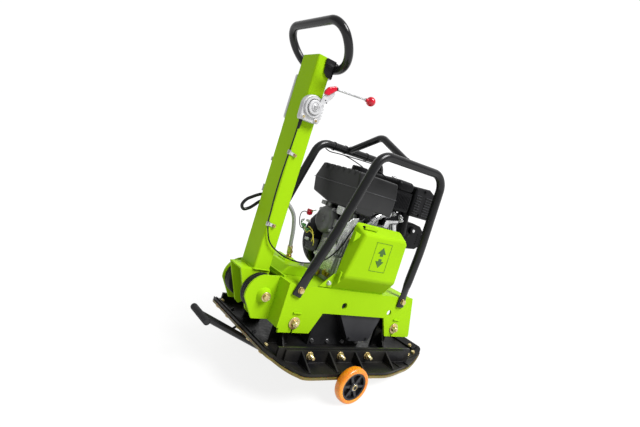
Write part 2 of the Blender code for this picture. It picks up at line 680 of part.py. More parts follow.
def build_throttle(drawbar, lever):
    face = -(DRAWBAR_HALF_WIDTH + GAP)
    outline = ([(-0.398, 0.760), (-0.330, 0.752), (-0.318, 0.800), (-0.330, 0.834)]
               + arc(THROTTLE_HUB, 0.040, 50, 180, 8))
    solid(drawbar, "throttle_body", prism(outline, -0.078, face), SILVER, 0.35, 0.8)
    rod_end = KNOB_AT[0] - KNOB_RADIUS - 0.0005
    outline = ([(-0.306, 0.873), (rod_end, KNOB_AT[1] - 0.003), (rod_end, KNOB_AT[1] + 0.003),
                (-0.320, 0.876), (-0.332, 0.882)]
               + arc(THROTTLE_HUB, 0.020, 110, 330, 8))
    solid(lever, "throttle_lever", prism(outline, *LEVER_Y), SILVER, 0.3, 0.9)
    ball = bmesh.new()
    knob_at = (KNOB_AT[0], sum(LEVER_Y) / 2, KNOB_AT[1])
    bmesh.ops.create_uvsphere(ball, u_segments=14, v_segments=9, radius=KNOB_RADIUS,
                              matrix=Matrix.Translation(knob_at))
    solid(lever, "throttle_knob", ball, RED, 0.3)


def build_lines(drawbar):
    """The throttle cable and hydraulic hoses, which are clipped or coupled at both ends."""
    cable = [(-0.392, -0.0570, 0.750), (-0.389, -0.0550, 0.700), (-0.388, -0.0550, 0.600),
             (-0.390, -0.0550, 0.500), (-0.386, -0.0560, 0.396), (-0.362, -0.0580, 0.345),
             (-0.318, -0.0610, 0.315), (-0.262, -0.0660, 0.298), (-0.205, -0.0780, 0.300),
             (-0.152, -0.0970, 0.325), (-0.112, -0.1060, 0.374), (-0.086, -0.1060, 0.428),
             (-0.064, -0.1060, 0.474), (-0.036, -0.1040, 0.502)]
    tube(drawbar, "throttle_cable", smooth_path(cable, 4), 0.003, BLACK, 0.5)
    hose = [(-0.3180, 0.000, 0.478), (-0.295, 0.002, 0.468), (-0.265, 0.008, 0.438),
            (-0.240, 0.015, 0.395), (-0.224, 0.022, 0.345), (-0.216, 0.028, 0.296)]
    tube(drawbar, "hydraulic_hose", smooth_path(hose, 4), 0.009, HOSE_GREY, 0.5)
    loop = [(-0.352, 0.062, 0.500), (-0.380, 0.064, 0.492), (-0.405, 0.067, 0.474),
            (-0.426, 0.070, 0.448), (-0.432, 0.072, 0.424), (-0.418, 0.072, 0.412),
            (-0.398, 0.069, 0.430), (-0.380, 0.065, 0.450), (-0.352, 0.062, 0.464)]
    tube(drawbar, "hose_loop", smooth_path(loop, 3), 0.006, BLACK, 0.5)


# ---------------------------------------------------------------- trolley

def build_trolley(body, wheels):
    bar_end = (WHEEL_X, -(MAT_THICKNESS + 2 * GAP) - BAR / 2)
    frame = solid(body, "trolley_frame", strut(GRIP_AT, BAR_BEND, BAR, BAR / 2), BLACK, 0.4)
    add_to(frame, strut((BAR_BEND[0] - 0.008, BAR_BEND[1] - 0.0015), bar_end, BAR - 0.001,
                        BAR / 2 - 0.0005))
    add_to(frame, box((WHEEL_X - BAR / 2, WHEEL_X + BAR / 2), (-0.3000, 0.3000),
                      (bar_end[1] - BAR / 2, bar_end[1] + BAR / 2)))
    add_to(frame, rod((WHEEL_X, WHEEL_Z), 0.0072, (-0.3480, 0.3480), 16))
    add_to(frame, rod(GRIP_AT, GRIP_RADIUS, (-0.060, 0.060), 16))
    peg_x = -0.357
    add_to(frame, box((peg_x - 0.005, peg_x + 0.005), (-0.005, 0.005),
                      (-0.004, sled_height(peg_x + 0.005) - MAT_THICKNESS - 0.001)))
    for side, word in ((-1, "right"), (1, "left")):
        low, high = sorted((side * WHEEL_Y[0], side * WHEEL_Y[1]))
        profile = [(WHEEL_BORE, low), (WHEEL_RADIUS - 0.004, low), (WHEEL_RADIUS, low + 0.005),
                   (WHEEL_RADIUS, high - 0.005), (WHEEL_RADIUS - 0.004, high), (WHEEL_BORE, high)]
        solid(wheels[side], "wheel_" + word, turned(profile, (WHEEL_X, WHEEL_Z), True, 32),
              ORANGE, 0.5)


# ---------------------------------------------------------------- assembly

def stand_on_floor(machine):
    """Shift the machine so that its bounding box is centred over the origin, on the floor."""
    bpy.context.view_layer.update()
    graph = bpy.context.evaluated_depsgraph_get()
    corners = []
    for obj in bpy.data.objects:
        if obj.type in {"MESH", "CURVE"} and not obj.hide_render:
            shape = obj.evaluated_get(graph)
            mesh = shape.to_mesh()
            corners += [shape.matrix_world @ v.co for v in mesh.vertices]
            shape.to_mesh_clear()
    low = [min(c[k] for c in corners) for k in range(3)]
    high = [max(c[k] for c in corners) for k in range(3)]
    machine.location = (-(low[0] + high[0]) / 2, -(low[1] + high[1]) / 2, -low[2])


def main():
    clear_scene()
    machine = make_empty("machine")
    machine.rotation_euler = (0.0, NOSE_DOWN, 0.0)

    def at(centre, y=0.0):
        return (centre[0], y, centre[1])

    lower = Body("lower_mass", machine)
    drive = Body("drive_shaft", machine, at(DRIVE_SHAFT))
    driven = Body("driven_shaft", machine, at(DRIVEN_SHAFT))
    upper = Body("upper_mass", machine)
    crank = Body("crank", machine, at(CRANK))
    cap = Body("cap", machine, FUEL_CAP_AT)
    recoil = Body("recoil", machine)
    drawbar = Body("drawbar", machine, at(PIVOT))
    lever = Body("throttle", machine, at(THROTTLE_HUB))
    handle = Body("handle", machine, at(HANDLE_PIVOT))
    trolley = Body("trolley", machine)
    wheels = {side: Body(name, machine, (WHEEL_X, side * sum(WHEEL_Y) / 2, WHEEL_Z))
              for side, name in ((-1, "near_wheel"), (1, "far_wheel"))}

    build_base(lower)
    build_exciter(lower, drive, driven)
    build_belt(lower)
    build_lower_guard(lower)
    build_upper_frame(upper)
    build_belt_cover(upper)
    build_roll_cage(upper)
    build_engine(upper, crank, cap, recoil)
    build_drawbar(drawbar)
    build_ring_handle(handle)
    build_throttle(drawbar, lever)
    build_lines(drawbar)
    build_trolley(trolley, wheels)
    stand_on_floor(machine)


main()
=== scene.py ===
"""Looks of the plate compactor: pieces, materials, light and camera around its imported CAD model.

Every piece is modelled in the machine's own frame, X forward, Y to the left, Z up, with the base
plate's flat underside at Z = 0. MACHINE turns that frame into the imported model's, in metres.
"""
import json
import math

import bmesh
import bpy
from mathutils import Matrix, Vector


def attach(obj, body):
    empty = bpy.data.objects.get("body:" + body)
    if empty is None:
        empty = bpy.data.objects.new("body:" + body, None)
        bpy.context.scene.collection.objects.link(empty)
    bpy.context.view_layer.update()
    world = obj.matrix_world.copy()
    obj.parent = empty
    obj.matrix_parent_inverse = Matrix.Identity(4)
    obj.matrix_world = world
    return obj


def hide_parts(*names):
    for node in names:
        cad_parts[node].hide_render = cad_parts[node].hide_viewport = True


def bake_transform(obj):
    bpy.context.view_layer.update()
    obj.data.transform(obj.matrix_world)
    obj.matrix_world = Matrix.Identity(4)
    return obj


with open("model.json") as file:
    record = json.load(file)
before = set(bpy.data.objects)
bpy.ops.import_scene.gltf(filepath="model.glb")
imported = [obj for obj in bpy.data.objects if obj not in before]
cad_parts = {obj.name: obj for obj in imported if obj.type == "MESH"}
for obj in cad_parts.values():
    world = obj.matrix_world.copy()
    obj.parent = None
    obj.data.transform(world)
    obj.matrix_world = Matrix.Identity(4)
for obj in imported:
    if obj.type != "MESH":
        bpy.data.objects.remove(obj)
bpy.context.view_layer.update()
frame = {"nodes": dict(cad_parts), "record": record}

RIGHT, LEFT = -1, 1
SIDES = ((RIGHT, "right"), (LEFT, "left"))
X, Y, Z = Vector((1, 0, 0)), Vector((0, 1, 0)), Vector((0, 0, 1))
SOFT = 0.0012           # ordinary rounding of an edge
TOUCH = 0.0004          # gap between pieces that touch
WASHER = 0.18           # thickness of a washer, in thread sizes
CREASE = 50.0           # edges that turn by more degrees are drawn sharp


# ---------------------------------------------------------------- the machine's frame

def machine_frame():
    """The tilt comes from the drawbar's rear face, the origin from the crankshaft and base plate."""
    face = next(m for m in frame["record"]["mounts"] if m["name"] == "drawbar_rear_face")
    forward = -Vector(face["axis"])
    turn = Matrix((forward, Y, forward.cross(Y))).transposed()
    back = turn.transposed()
    shaft = [back @ v.co for v in frame["nodes"]["crankshaft"].data.vertices]
    plate = [back @ v.co for v in frame["nodes"]["base_plate"].data.vertices]
    middle = (min(p.x for p in shaft) + max(p.x for p in shaft)) / 2
    origin = Vector((middle, 0.0, min(p.z for p in plate)))
    return Matrix.Translation(turn @ origin) @ turn.to_4x4()


MACHINE = machine_frame()
TO_MACHINE = MACHINE.inverted()


class Extent:
    """A CAD node's box in the machine's frame: low and high corners, and its middle."""

    def __init__(self, node):
        points = [TO_MACHINE @ v.co for v in frame["nodes"][node].data.vertices]
        self.low = Vector(min(p[k] for p in points) for k in range(3))
        self.high = Vector(max(p[k] for p in points) for k in range(3))
        self.mid = (self.low + self.high) / 2


# Driving dimensions that the CAD nodes share
SLED_FLAT = 0.235       # the underside is flat up to here, then curves up
SLED_RADIUS = 0.265
PLATE = Extent("base_plate")
WING = Extent("wing_right")
DRAWBAR = Extent("drawbar_tube")
CRANK = Extent("crankshaft").mid
PIVOT = Extent("pivot_axle").mid
PLATE_HALF = PLATE.high.y
PANEL_OUT = 0.157       # outer face of the side plates
DECK_TOP = Extent("engine_deck").high.z
CHANNEL_TOP = DECK_TOP + 0.034
BUFFER_X = Extent("rubber_buffer_front_right").mid.x
BUFFER_Z = Extent("rubber_buffer_front_right").mid.z


# ---------------------------------------------------------------- shapes

def join(*shapes):
    """Put shapes together into one mesh."""
    whole = bmesh.new()
    for bm in shapes:
        mesh = bpy.data.meshes.new("shape")
        bm.to_mesh(mesh)
        bm.free()
        whole.from_mesh(mesh)
        bpy.data.meshes.remove(mesh)
    return whole


def soften(bm, width=SOFT, segments=2, angle=30.0):
    """Round the edges that turn by more than an angle."""
    bmesh.ops.recalc_face_normals(bm, faces=bm.faces)
    edges = [e for e in bm.edges
             if len(e.link_faces) == 2 and e.calc_face_angle() > math.radians(angle)]
    bmesh.ops.bevel(bm, geom=edges, offset=width, segments=segments, profile=0.5,
                    affect="EDGES", clamp_overlap=True)
    return bm


def moved(bm, matrix):
    """Move a shape and hand it back."""
    bm.transform(matrix)
    return bm


def mm(*points):
    """Points given in millimetres, as tuples in metres."""
    return [tuple(v / 1000 for v in point) for point in points]


def prism(outline, low, high, axis="Y"):
    """Extrude a flat outline: (x, z) points along Y, (x, y) along Z, (y, z) along X."""
    def point(p, depth):
        return {"X": (depth, p[0], p[1]), "Y": (p[0], depth, p[1]), "Z": (p[0], p[1], depth)}[axis]
    bm = bmesh.new()
    bottom = [bm.verts.new(point(p, low)) for p in outline]
    top = [bm.verts.new(point(p, high)) for p in outline]
    bm.faces.new(bottom)
    bm.faces.new(top)
    for i in range(len(outline)):
        j = (i + 1) % len(outline)
        bm.faces.new((bottom[i], bottom[j], top[j], top[i]))
    return bm


def slab(outline, low, high, width=SOFT, segments=2, angle=30.0, axis="Y"):
    """A prism with its edges rounded."""
    return soften(prism(outline, low, high, axis), width, segments, angle)


def box(x, y, z, soft=0.0, segments=2):
    """A box from its (low, high) span along each axis."""
    bm = prism([(x[0], y[0]), (x[1], y[0]), (x[1], y[1]), (x[0], y[1])], z[0], z[1], "Z")
    return soften(bm, soft, segments) if soft else bm


def block(centre, size, soft=0.0, segments=2):
    """A box from its centre and size."""
    spans = [(c - s / 2, c + s / 2) for c, s in zip(centre, size)]
    return box(*spans, soft=soft, segments=segments)


def arc(centre, radius, start, end, steps):
    """Points on a circular arc, angles in degrees."""
    angles = [math.radians(start + (end - start) * i / steps) for i in range(steps + 1)]
    return [(centre[0] + radius * math.cos(a), centre[1] + radius * math.sin(a)) for a in angles]


def ease(share):
    """A smooth step from 0 to 1."""
    t = min(max(share, 0.0), 1.0)
    return t * t * (3 - 2 * t)


def rounded_rectangle(low, high, radius, steps=6):
    """The outline between two corners."""
    corners = [(high[0], high[1], 0), (low[0], high[1], 90), (low[0], low[1], 180), (high[0], low[1], 270)]
    points = []
    for cx, cy, start in corners:
        centre = (cx - math.copysign(radius, cx - low[0] - radius),
                  cy - math.copysign(radius, cy - low[1] - radius))
        points += arc(centre, radius, start, start + 90, steps)
    return points


def facing(out, at):
    """A matrix that takes local Z to a direction and the origin to a point."""
    return Matrix.Translation(at) @ Vector(out).to_track_quat("Z", "X").to_matrix().to_4x4()


def lathe(profile, at=(0, 0, 0), out=Y, facets=32, closed=False, shape=None):
    """Turn (radius, distance) points about a direction; shape(angle, radius) may vary the radius."""
    bm = bmesh.new()
    rings = []
    for radius, depth in profile:
        if radius == 0.0:
            rings.append([bm.verts.new((0, 0, depth))])
            continue
        circle = []
        for i in range(facets):
            angle = 2 * math.pi * i / facets
            reach = shape(angle, radius) if shape else radius
            circle.append(bm.verts.new((reach * math.cos(angle), reach * math.sin(angle), depth)))
        rings.append(circle)
    pairs = list(zip(rings, rings[1:]))
    if closed:
        pairs.append((rings[-1], rings[0]))
    for lower, upper in pairs:
        for i in range(facets):
            j = (i + 1) % facets
            corners = [lower[i % len(lower)], lower[j % len(lower)],
                       upper[j % len(upper)], upper[i % len(upper)]]
            bm.faces.new(list(dict.fromkeys(corners)))
    if not closed:
        for end in (rings[0], rings[-1]):
            if len(end) > 1:
                bm.faces.new(end)
    bm.transform(facing(out, at))
    return bm


def disc(radius, low, high, edge=0.0008, at=(0, 0, 0), out=Y, facets=40, bore=0.0):
    """A round plate with softened rims, solid or with a bore."""
    outer = [(radius - edge, low), (radius, low + edge), (radius, high - edge), (radius - edge, high)]
    if bore:
        return lathe([(bore, low)] + outer + [(bore, high)], at, out, facets, closed=True)
    return lathe([(0.0, low)] + outer + [(0.0, high)], at, out, facets)


def smooth_path(points, steps):
    """A smooth curve through the route's points (Catmull-Rom)."""
    points = [Vector(p) for p in points]
    ends = [points[0] * 2 - points[1]] + points + [points[-1] * 2 - points[-2]]
    path = []
    for i in range(1, len(ends) - 2):
        a, b, c, d = ends[i - 1:i + 3]
        for k in range(steps):
            t = k / steps
            path.append(0.5 * (2 * b + (c - a) * t + (2 * a - 5 * b + 4 * c - d) * t ** 2
                               + (3 * b - a - 3 * c + d) * t ** 3))
    path.append(points[-1])
    return path


def round_corners(points, radius, steps):
    """Replace the inner corners of a path of 3-D points by arcs."""
    points = [Vector(p) for p in points]
    path = points[:1]
    for before, corner, after in zip(points, points[1:], points[2:]):
        back = (before - corner).normalized()
        ahead = (after - corner).normalized()
        half = back.angle(ahead) / 2
        setback = radius / math.tan(half)
        middle = corner + (back + ahead).normalized() * radius / math.sin(half)
        first = corner + back * setback - middle
        turn = first.cross(corner + ahead * setback - middle)
        sweep = math.pi - 2 * half
        for k in range(steps + 1):
            path.append(middle + Matrix.Rotation(sweep * k / steps, 3, turn) @ first)
    return path + points[-1:]


def tube(path, radius, sides=20, closed=False, section=None):
    """Sweep a round section along a path, with UVs around and along it.

    section(share) may give, at that share of the length, the factors of the radius across and
    along the path's own normal, and a shift of the centre.
    """
    path = [Vector(p) for p in path]
    count = len(path)
    lengths = [0.0]
    for a, b in zip(path, path[1:]):
        lengths.append(lengths[-1] + (b - a).length)
    tangents = []
    for i in range(count):
        before = path[i - 1] if closed or i else path[0]
        after = path[(i + 1) % count] if closed or i < count - 1 else path[-1]
        tangents.append((after - before).normalized())
    start = Y if abs(tangents[0].dot(Y)) < 0.8 else X
    normal = (start - tangents[0] * start.dot(tangents[0])).normalized()
    bm = bmesh.new()
    uv = bm.loops.layers.uv.new("UVMap")
    rings, along = [], []
    for place, tangent, length in zip(path, tangents, lengths):
        normal = (normal - tangent * normal.dot(tangent)).normalized()
        across = tangent.cross(normal)
        wide, thick, shift = section(length / lengths[-1]) if section else (1.0, 1.0, Vector())
        ring = []
        for k in range(sides):
            angle = 2 * math.pi * k / sides
            offset = (normal * math.cos(angle) * thick + across * math.sin(angle) * wide) * radius
            ring.append(bm.verts.new(place + offset + shift))
        rings.append(ring)
        along.append(length)
    steps = count if closed else count - 1
    for i in range(steps):
        j = (i + 1) % count
        for k in range(sides):
            m = (k + 1) % sides
            face = bm.faces.new((rings[i][k], rings[i][m], rings[j][m], rings[j][k]))
            ends = (along[i], along[i], along[j] if j else along[i], along[j] if j else along[i])
            for loop, u, v in zip(face.loops, (k, k + 1, k + 1, k), ends):
                loop[uv].uv = (u / sides, v)
    if not closed:
        bm.faces.new(rings[0])
        bm.faces.new(rings[-1])
    return bm


def weld(path, size=0.0028):
    """A weld bead: a rippled run along a seam."""
    points = [Vector(p) for p in path]
    length = sum((b - a).length for a, b in zip(points, points[1:]))
    fine = []
    for a, b in zip(points, points[1:]):
        steps = max(2, round((b - a).length / 0.002))
        fine += [a.lerp(b, k / steps) for k in range(steps)]
    fine.append(points[-1])

    def ripple(share):
        swell = 1.0 + 0.16 * math.sin(share * length * 2 * math.pi / 0.006)
        return swell, swell, Vector()
    return tube(fine, size, 8, section=ripple)


def hexagon(flats):
    """The radius of a hexagon of that width across flats, at an angle."""
    def shape(angle, radius):
        turn = (angle + math.pi / 6) % (math.pi / 3) - math.pi / 6
        return min(radius, flats / 2 / math.cos(turn))
    return shape


def hex_head(thread, at, out, height=0.65):
    """A chamfered hexagon head for a thread size."""
    flats = 1.65 * thread
    corner, tall = flats / 2 / math.cos(math.pi / 6), height * thread
    profile = [(0.0, 0.0), (corner, 0.0), (corner, tall * 0.82), (flats * 0.48, tall), (0.0, tall)]
    return lathe(profile, at, out, 36, shape=hexagon(flats))


def washer(thread, at, out, outer):
    """A flat washer, outer being its diameter in thread sizes."""
    return disc(outer * thread / 2, 0.0, WASHER * thread, 0.0004, at, out, bore=thread * 0.5)


def threads(thread, at, out, length):
    """The threaded end of a bolt."""
    crest, root, pitch = thread / 2, thread * 0.43, thread * 0.15
    profile = [(0.0, 0.0)]
    for k in range(max(1, int(length / pitch))):
        profile += [(root, k * pitch), (crest, (k + 0.5) * pitch)]
    profile += [(root, length), (0.0, length + thread * 0.05)]
    return lathe(profile, at, out, 20)


def bolt(thread, at, out, washer_size=2.1, stud=0.0):
    """A washer and a hex head or nut, with the bolt's end standing out of it by stud."""
    at, out = Vector(at), Vector(out).normalized()
    seat = at + out * thread * WASHER
    shapes = [washer(thread, at, out, washer_size), hex_head(thread, seat, out)]
    if stud:
        shapes.append(threads(thread, seat + out * thread * 0.6, out, stud))
    return join(*shapes)


def refined(node, width=SOFT, segments=2):
    """A CAD node's own shape with its facets merged and its edges softened."""
    bm = bmesh.new()
    bm.from_mesh(frame["nodes"][node].data)
    bm.transform(TO_MACHINE)
    bmesh.ops.remove_doubles(bm, verts=bm.verts, dist=1e-5)
    bmesh.ops.dissolve_limit(bm, angle_limit=math.radians(0.5), verts=bm.verts, edges=bm.edges)
    return soften(bm, width, segments) if width else bm


# ---------------------------------------------------------------- materials

def make_look(name, colour, roughness, metallic=0.0, vary=0.1, patches=9.0, tint=None,
              rough_vary=0.06, grain=0.0, grain_size=0.002, sockets=()):
    """A Principled material with patchy colour and roughness, and a fine grain in its surface.

    patches is the colour noise's scale, tint a second colour it leans to, grain the depth and
    grain_size the width of the surface's texture in metres.
    """
    mat = bpy.data.materials.new(name)
    mat.use_nodes = True
    nodes, links = mat.node_tree.nodes, mat.node_tree.links
    shader = nodes["Principled BSDF"]
    shader.inputs["Metallic"].default_value = metallic
    for socket, value in sockets:
        shader.inputs[socket].default_value = value
    place = nodes.new("ShaderNodeTexCoord")

    def noise(scale, detail):
        node = nodes.new("ShaderNodeTexNoise")
        node.inputs["Scale"].default_value = scale
        node.inputs["Detail"].default_value = detail
        links.new(place.outputs["Object"], node.inputs["Vector"])
        return node.outputs["Fac"]

    mottle = noise(patches, 5.0)
    ramp = nodes.new("ShaderNodeValToRGB")
    other = tint or tuple(c * (1 - vary) for c in colour)
    ramp.color_ramp.elements[0].position = 0.35
    ramp.color_ramp.elements[0].color = (*other, 1.0)
    ramp.color_ramp.elements[1].position = 0.65
    ramp.color_ramp.elements[1].color = (*(min(1.0, c * (1 + vary * 0.5)) for c in colour), 1.0)
    links.new(mottle, ramp.inputs["Fac"])
    links.new(ramp.outputs["Color"], shader.inputs["Base Color"])

    spread = nodes.new("ShaderNodeMapRange")
    spread.inputs["From Min"].default_value = 0.3
    spread.inputs["From Max"].default_value = 0.7
    spread.inputs["To Min"].default_value = roughness - rough_vary
    spread.inputs["To Max"].default_value = roughness + rough_vary
    links.new(noise(patches * 5, 4.0), spread.inputs["Value"])
    links.new(spread.outputs["Result"], shader.inputs["Roughness"])

    if grain:
        bump = nodes.new("ShaderNodeBump")
        bump.inputs["Distance"].default_value = grain
        bump.inputs["Strength"].default_value = 1.0
        links.new(noise(1.0 / grain_size, 2.0), bump.inputs["Height"])
        links.new(bump.outputs["Normal"], shader.inputs["Normal"])
    return mat


def make_braid(name, colour, roughness, metallic, around, pitch, depth):
    """Crossed strands wound round a hose, from the UVs that tube() gives: u around, v in metres, with
    painted shade darkening the valleys between the strands.
    """
    mat = make_look(name, colour, roughness, metallic)
    nodes, links = mat.node_tree.nodes, mat.node_tree.links
    shader = nodes["Principled BSDF"]
    place = nodes.new("ShaderNodeTexCoord")
    split = nodes.new("ShaderNodeSeparateXYZ")
    links.new(place.outputs["UV"], split.inputs["Vector"])

    def math_node(operation, a, b):
        node = nodes.new("ShaderNodeMath")
        node.operation = operation
        for socket, value in zip(node.inputs, (a, b)):
            if isinstance(value, float):
                socket.default_value = value
            else:
                links.new(value, socket)
        return node.outputs["Value"]

    turns = math_node("MULTIPLY", split.outputs["X"], 2 * math.pi * around)
    run = math_node("MULTIPLY", split.outputs["Y"], 2 * math.pi / pitch)
    one = math_node("SINE", math_node("ADD", turns, run), 0.0)
    two = math_node("SINE", math_node("SUBTRACT", turns, run), 0.0)
    height = math_node("MAXIMUM", one, two)
    bump = nodes.new("ShaderNodeBump")
    bump.inputs["Distance"].default_value = depth
    bump.inputs["Strength"].default_value = 1.0
    links.new(height, bump.inputs["Height"])
    links.new(bump.outputs["Normal"], shader.inputs["Normal"])
    # painted shade: the colour darkens to half in the valleys between the strands
    ramp = nodes.new("ShaderNodeValToRGB")
    ramp.color_ramp.elements[0].position = 0.35
    ramp.color_ramp.elements[0].color = (*(c * 0.5 for c in colour), 1.0)
    ramp.color_ramp.elements[1].color = (*colour, 1.0)
    links.new(height, ramp.inputs["Fac"])
    links.new(ramp.outputs["Color"], shader.inputs["Base Color"])
    return mat


DULL = (("Specular IOR Level", 0.25),)
# look: (record slot, material)
LOOKS = {
    "green": ("green_paint", make_look(
        "green_paint", (0.285, 0.515, 0.006), 0.4, vary=0.06, patches=3.0, grain=0.00003,
        grain_size=0.003, sockets=(("Specular IOR Level", 0.03),))),
    "base_black": ("base_paint", make_look(
        "base_paint", (0.005, 0.005, 0.006), 0.4, vary=0.3, tint=(0.015, 0.014, 0.012), patches=14.0,
        rough_vary=0.12, grain=0.00006, grain_size=0.008,
        sockets=(("Specular IOR Level", 0.15), ("Coat Weight", 0.05), ("Coat Roughness", 0.12)))),
    "tube_black": ("black_paint", make_look(
        "powder_black", (0.01, 0.01, 0.011), 0.23, vary=0.2, patches=12.0, grain=0.00002,
        grain_size=0.0012, sockets=(("Specular IOR Level", 0.32),))),
    "cast_black": ("cast_housing", make_look(
        "cast_black", (0.012, 0.012, 0.013), 0.5, vary=0.3, patches=18.0, grain=0.00025, grain_size=0.0025,
        sockets=DULL)),
    "guard_grey": ("grey_metal", make_look(
        "guard_grey", (0.024, 0.024, 0.027), 0.44, vary=0.2, grain=0.00004, grain_size=0.0012,
        sockets=DULL)),
    "rubber": ("rubber", make_look(
        "rubber", (0.008, 0.008, 0.009), 0.62, vary=0.3, patches=25.0, grain=0.0001, grain_size=0.001,
        sockets=DULL)),
    "zinc": ("zinc", make_look(
        "yellow_zinc", (0.7, 0.62, 0.33), 0.28, 0.8, tint=(0.46, 0.31, 0.12), patches=60.0,
        rough_vary=0.1, grain=0.00003, grain_size=0.0008)),
    "brass": ("zinc", make_look(
        "brass", (0.7, 0.45, 0.14), 0.32, 1.0, tint=(0.45, 0.26, 0.09), patches=70.0, rough_vary=0.1)),
    "steel": ("steel", make_look(
        "ground_steel", (0.62, 0.62, 0.63), 0.3, 1.0, vary=0.18, patches=50.0, rough_vary=0.1,
        grain=0.00002, grain_size=0.0006)),
    "polyurethane": ("polyurethane", make_look(
        "polyurethane_mat", (0.17, 0.135, 0.022), 0.36, tint=(0.1, 0.085, 0.018), patches=10.0,
        grain=0.00005,
        grain_size=0.004, sockets=(("Transmission Weight", 0.12), ("Subsurface Weight", 0.15)))),
    "casting": ("engine_casting", make_look(
        "engine_casting", (0.36, 0.36, 0.375), 0.44, 0.45, vary=0.35, patches=30.0, rough_vary=0.1,
        grain=0.00022, grain_size=0.0016)),
    "casting_dark": ("engine_casting", make_look(
        "painted_casting", (0.07, 0.07, 0.076), 0.46, 0.25, vary=0.35, patches=25.0, rough_vary=0.08,
        grain=0.00018, grain_size=0.0018)),
    "casting_mid": ("engine_casting", make_look(
        "grey_casting", (0.115, 0.115, 0.121), 0.42, 0.25, vary=0.35, patches=28.0, rough_vary=0.08,
        grain=0.00018, grain_size=0.0018)),
    "polished": ("engine_casting", make_look(
        "polished_casting", (0.6, 0.6, 0.61), 0.15, 0.95, vary=0.3, patches=60.0, rough_vary=0.07,
        grain=0.0001, grain_size=0.004)),
    "bright": ("engine_casting", make_look(
        "machined_aluminium", (0.74, 0.74, 0.75), 0.28, 0.55, vary=0.22, patches=60.0, rough_vary=0.1)),
    "plastic": ("engine_black", make_look(
        "engine_plastic", (0.003, 0.003, 0.004), 0.42, vary=0.2, patches=14.0, grain=0.00006,
        grain_size=0.0009, sockets=(("Specular IOR Level", 0.14),))),
    "muffler": ("muffler_black", make_look(
        "muffler_black", (0.006, 0.006, 0.007), 0.46, vary=0.35, patches=22.0, grain=0.00006,
        grain_size=0.0016, sockets=(("Specular IOR Level", 0.14),))),
    "tank": ("tank_paint", make_look(
        "tank_paint", (0.017, 0.017, 0.018), 0.34, vary=0.12, patches=7.0, grain=0.00004,
        grain_size=0.0016, sockets=(("Specular IOR Level", 0.35),))),
    "die_cast": ("throttle_casting", make_look(
        "die_cast_zinc", (0.56, 0.56, 0.57), 0.4, 0.3, vary=0.16, patches=45.0, grain=0.00006,
        grain_size=0.0011)),
    "red": ("red_plastic", make_look(
        "red_plastic", (0.52, 0.003, 0.02), 0.2, vary=0.08, patches=20.0, rough_vary=0.04,
        grain=0.00001, grain_size=0.001, sockets=(("Coat Weight", 0.12), ("Coat Roughness", 0.08)))),
    "holder": ("holder_grey", make_look(
        "holder_grey", (0.58, 0.59, 0.59), 0.42, vary=0.08, patches=12.0, grain=0.00004, grain_size=0.001)),
    "cable": ("cable_black", make_look(
        "cable_black", (0.006, 0.006, 0.007), 0.36, vary=0.2, patches=60.0, sockets=DULL)),
    "green_wire": ("cable_black", make_look("green_wire", (0.06, 0.3, 0.05), 0.4, patches=80.0)),
    "yellow_wire": ("cable_black", make_look("yellow_wire", (0.7, 0.6, 0.05), 0.4, patches=80.0)),
    "braid": ("hose_braid", make_braid("hose_braid", (0.52, 0.52, 0.53), 0.42, 0.3, 10, 0.0064, 0.0004)),
    "tyre": ("wheel_tread", make_look(
        "orange_polyurethane", (0.8, 0.27, 0.008), 0.3, tint=(0.66, 0.19, 0.005), patches=16.0,
        grain=0.00003, grain_size=0.002, sockets=(("Subsurface Weight", 0.25), ("Coat Weight", 0.2)))),
    "hub": ("wheel_tread", make_look(
        "hub_plastic", (0.008, 0.008, 0.01), 0.32, vary=0.2, patches=30.0, grain=0.00004,
        grain_size=0.001)),
    "emblem": ("green_paint", make_look(
        "emblem_green", (0.035, 0.11, 0.004), 0.38, vary=0.1, patches=40.0)),
    # near-black and matte: painted shade inside the belt cover's vent and the muffler guard's slots; also
    # the throttle arm's small dark screw heads
    "dark": ("engine_black", make_look("painted_shade_black", (0.003, 0.003, 0.003), 0.9, vary=0.3, patches=20.0)),
}


def piece(name, look, *shapes, body="upper_mass", replaces=()):
    """Join shapes into a named piece with a look, riding on a CAD body (None for a piece on no body).

    replaces lists the CAD nodes that the piece stands in for.
    """
    bm = join(*shapes)
    bmesh.ops.recalc_face_normals(bm, faces=bm.faces)
    bm.transform(MACHINE)
    mesh = bpy.data.meshes.new(name)
    bm.to_mesh(mesh)
    bm.free()
    mesh.shade_smooth()
    mesh.set_sharp_from_angle(angle=math.radians(CREASE))
    slot, mat = LOOKS[look]
    mesh.materials.append(mat)
    obj = bpy.data.objects.new(name, mesh)
    bpy.context.scene.collection.objects.link(obj)
    normals = obj.modifiers.new("Normals", "WEIGHTED_NORMAL")
    normals.keep_sharp = True
    if body:
        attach(obj, body)
    if replaces:
        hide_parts(*replaces)
    return obj


def repaint(look, *nodes):
    """Give CAD nodes that stay as they are a look."""
    for node in nodes:
        obj = frame["nodes"][node]
        obj.data.materials.clear()
        obj.data.materials.append(LOOKS[look][1])


# ---------------------------------------------------------------- base plate, wings and mat

def rise(x):
    """Height of the steel plate's underside: flat, then a circular curve up at both ends."""
    run = max(abs(x) - SLED_FLAT, 0.0)
    return SLED_RADIUS - math.sqrt(SLED_RADIUS ** 2 - run ** 2)


def stations(rear, front, steps):
    """Places along X that crowd towards both ends."""
    middle, half = (rear + front) / 2, (front - rear) / 2
    return [middle - half * math.cos(math.pi * i / steps) for i in range(steps + 1)]


def sled_sheet(rear, front, inner, outer, low, high, steps=72):
    """A sheet that follows the base's curve between two edges, given as functions of x."""
    bm = bmesh.new()
    rows = []
    for x in stations(rear, front, steps):
        z = rise(x)
        rows.append([bm.verts.new(p) for p in (
            (x, inner(x), z + low), (x, outer(x), z + low), (x, outer(x), z + high),
            (x, inner(x), z + high))])
    for a, b in zip(rows, rows[1:]):
        for k in range(4):
            m = (k + 1) % 4
            bm.faces.new((a[k], a[m], b[m], b[k]))
    bm.faces.new(rows[0])
    bm.faces.new(rows[-1])
    return bm


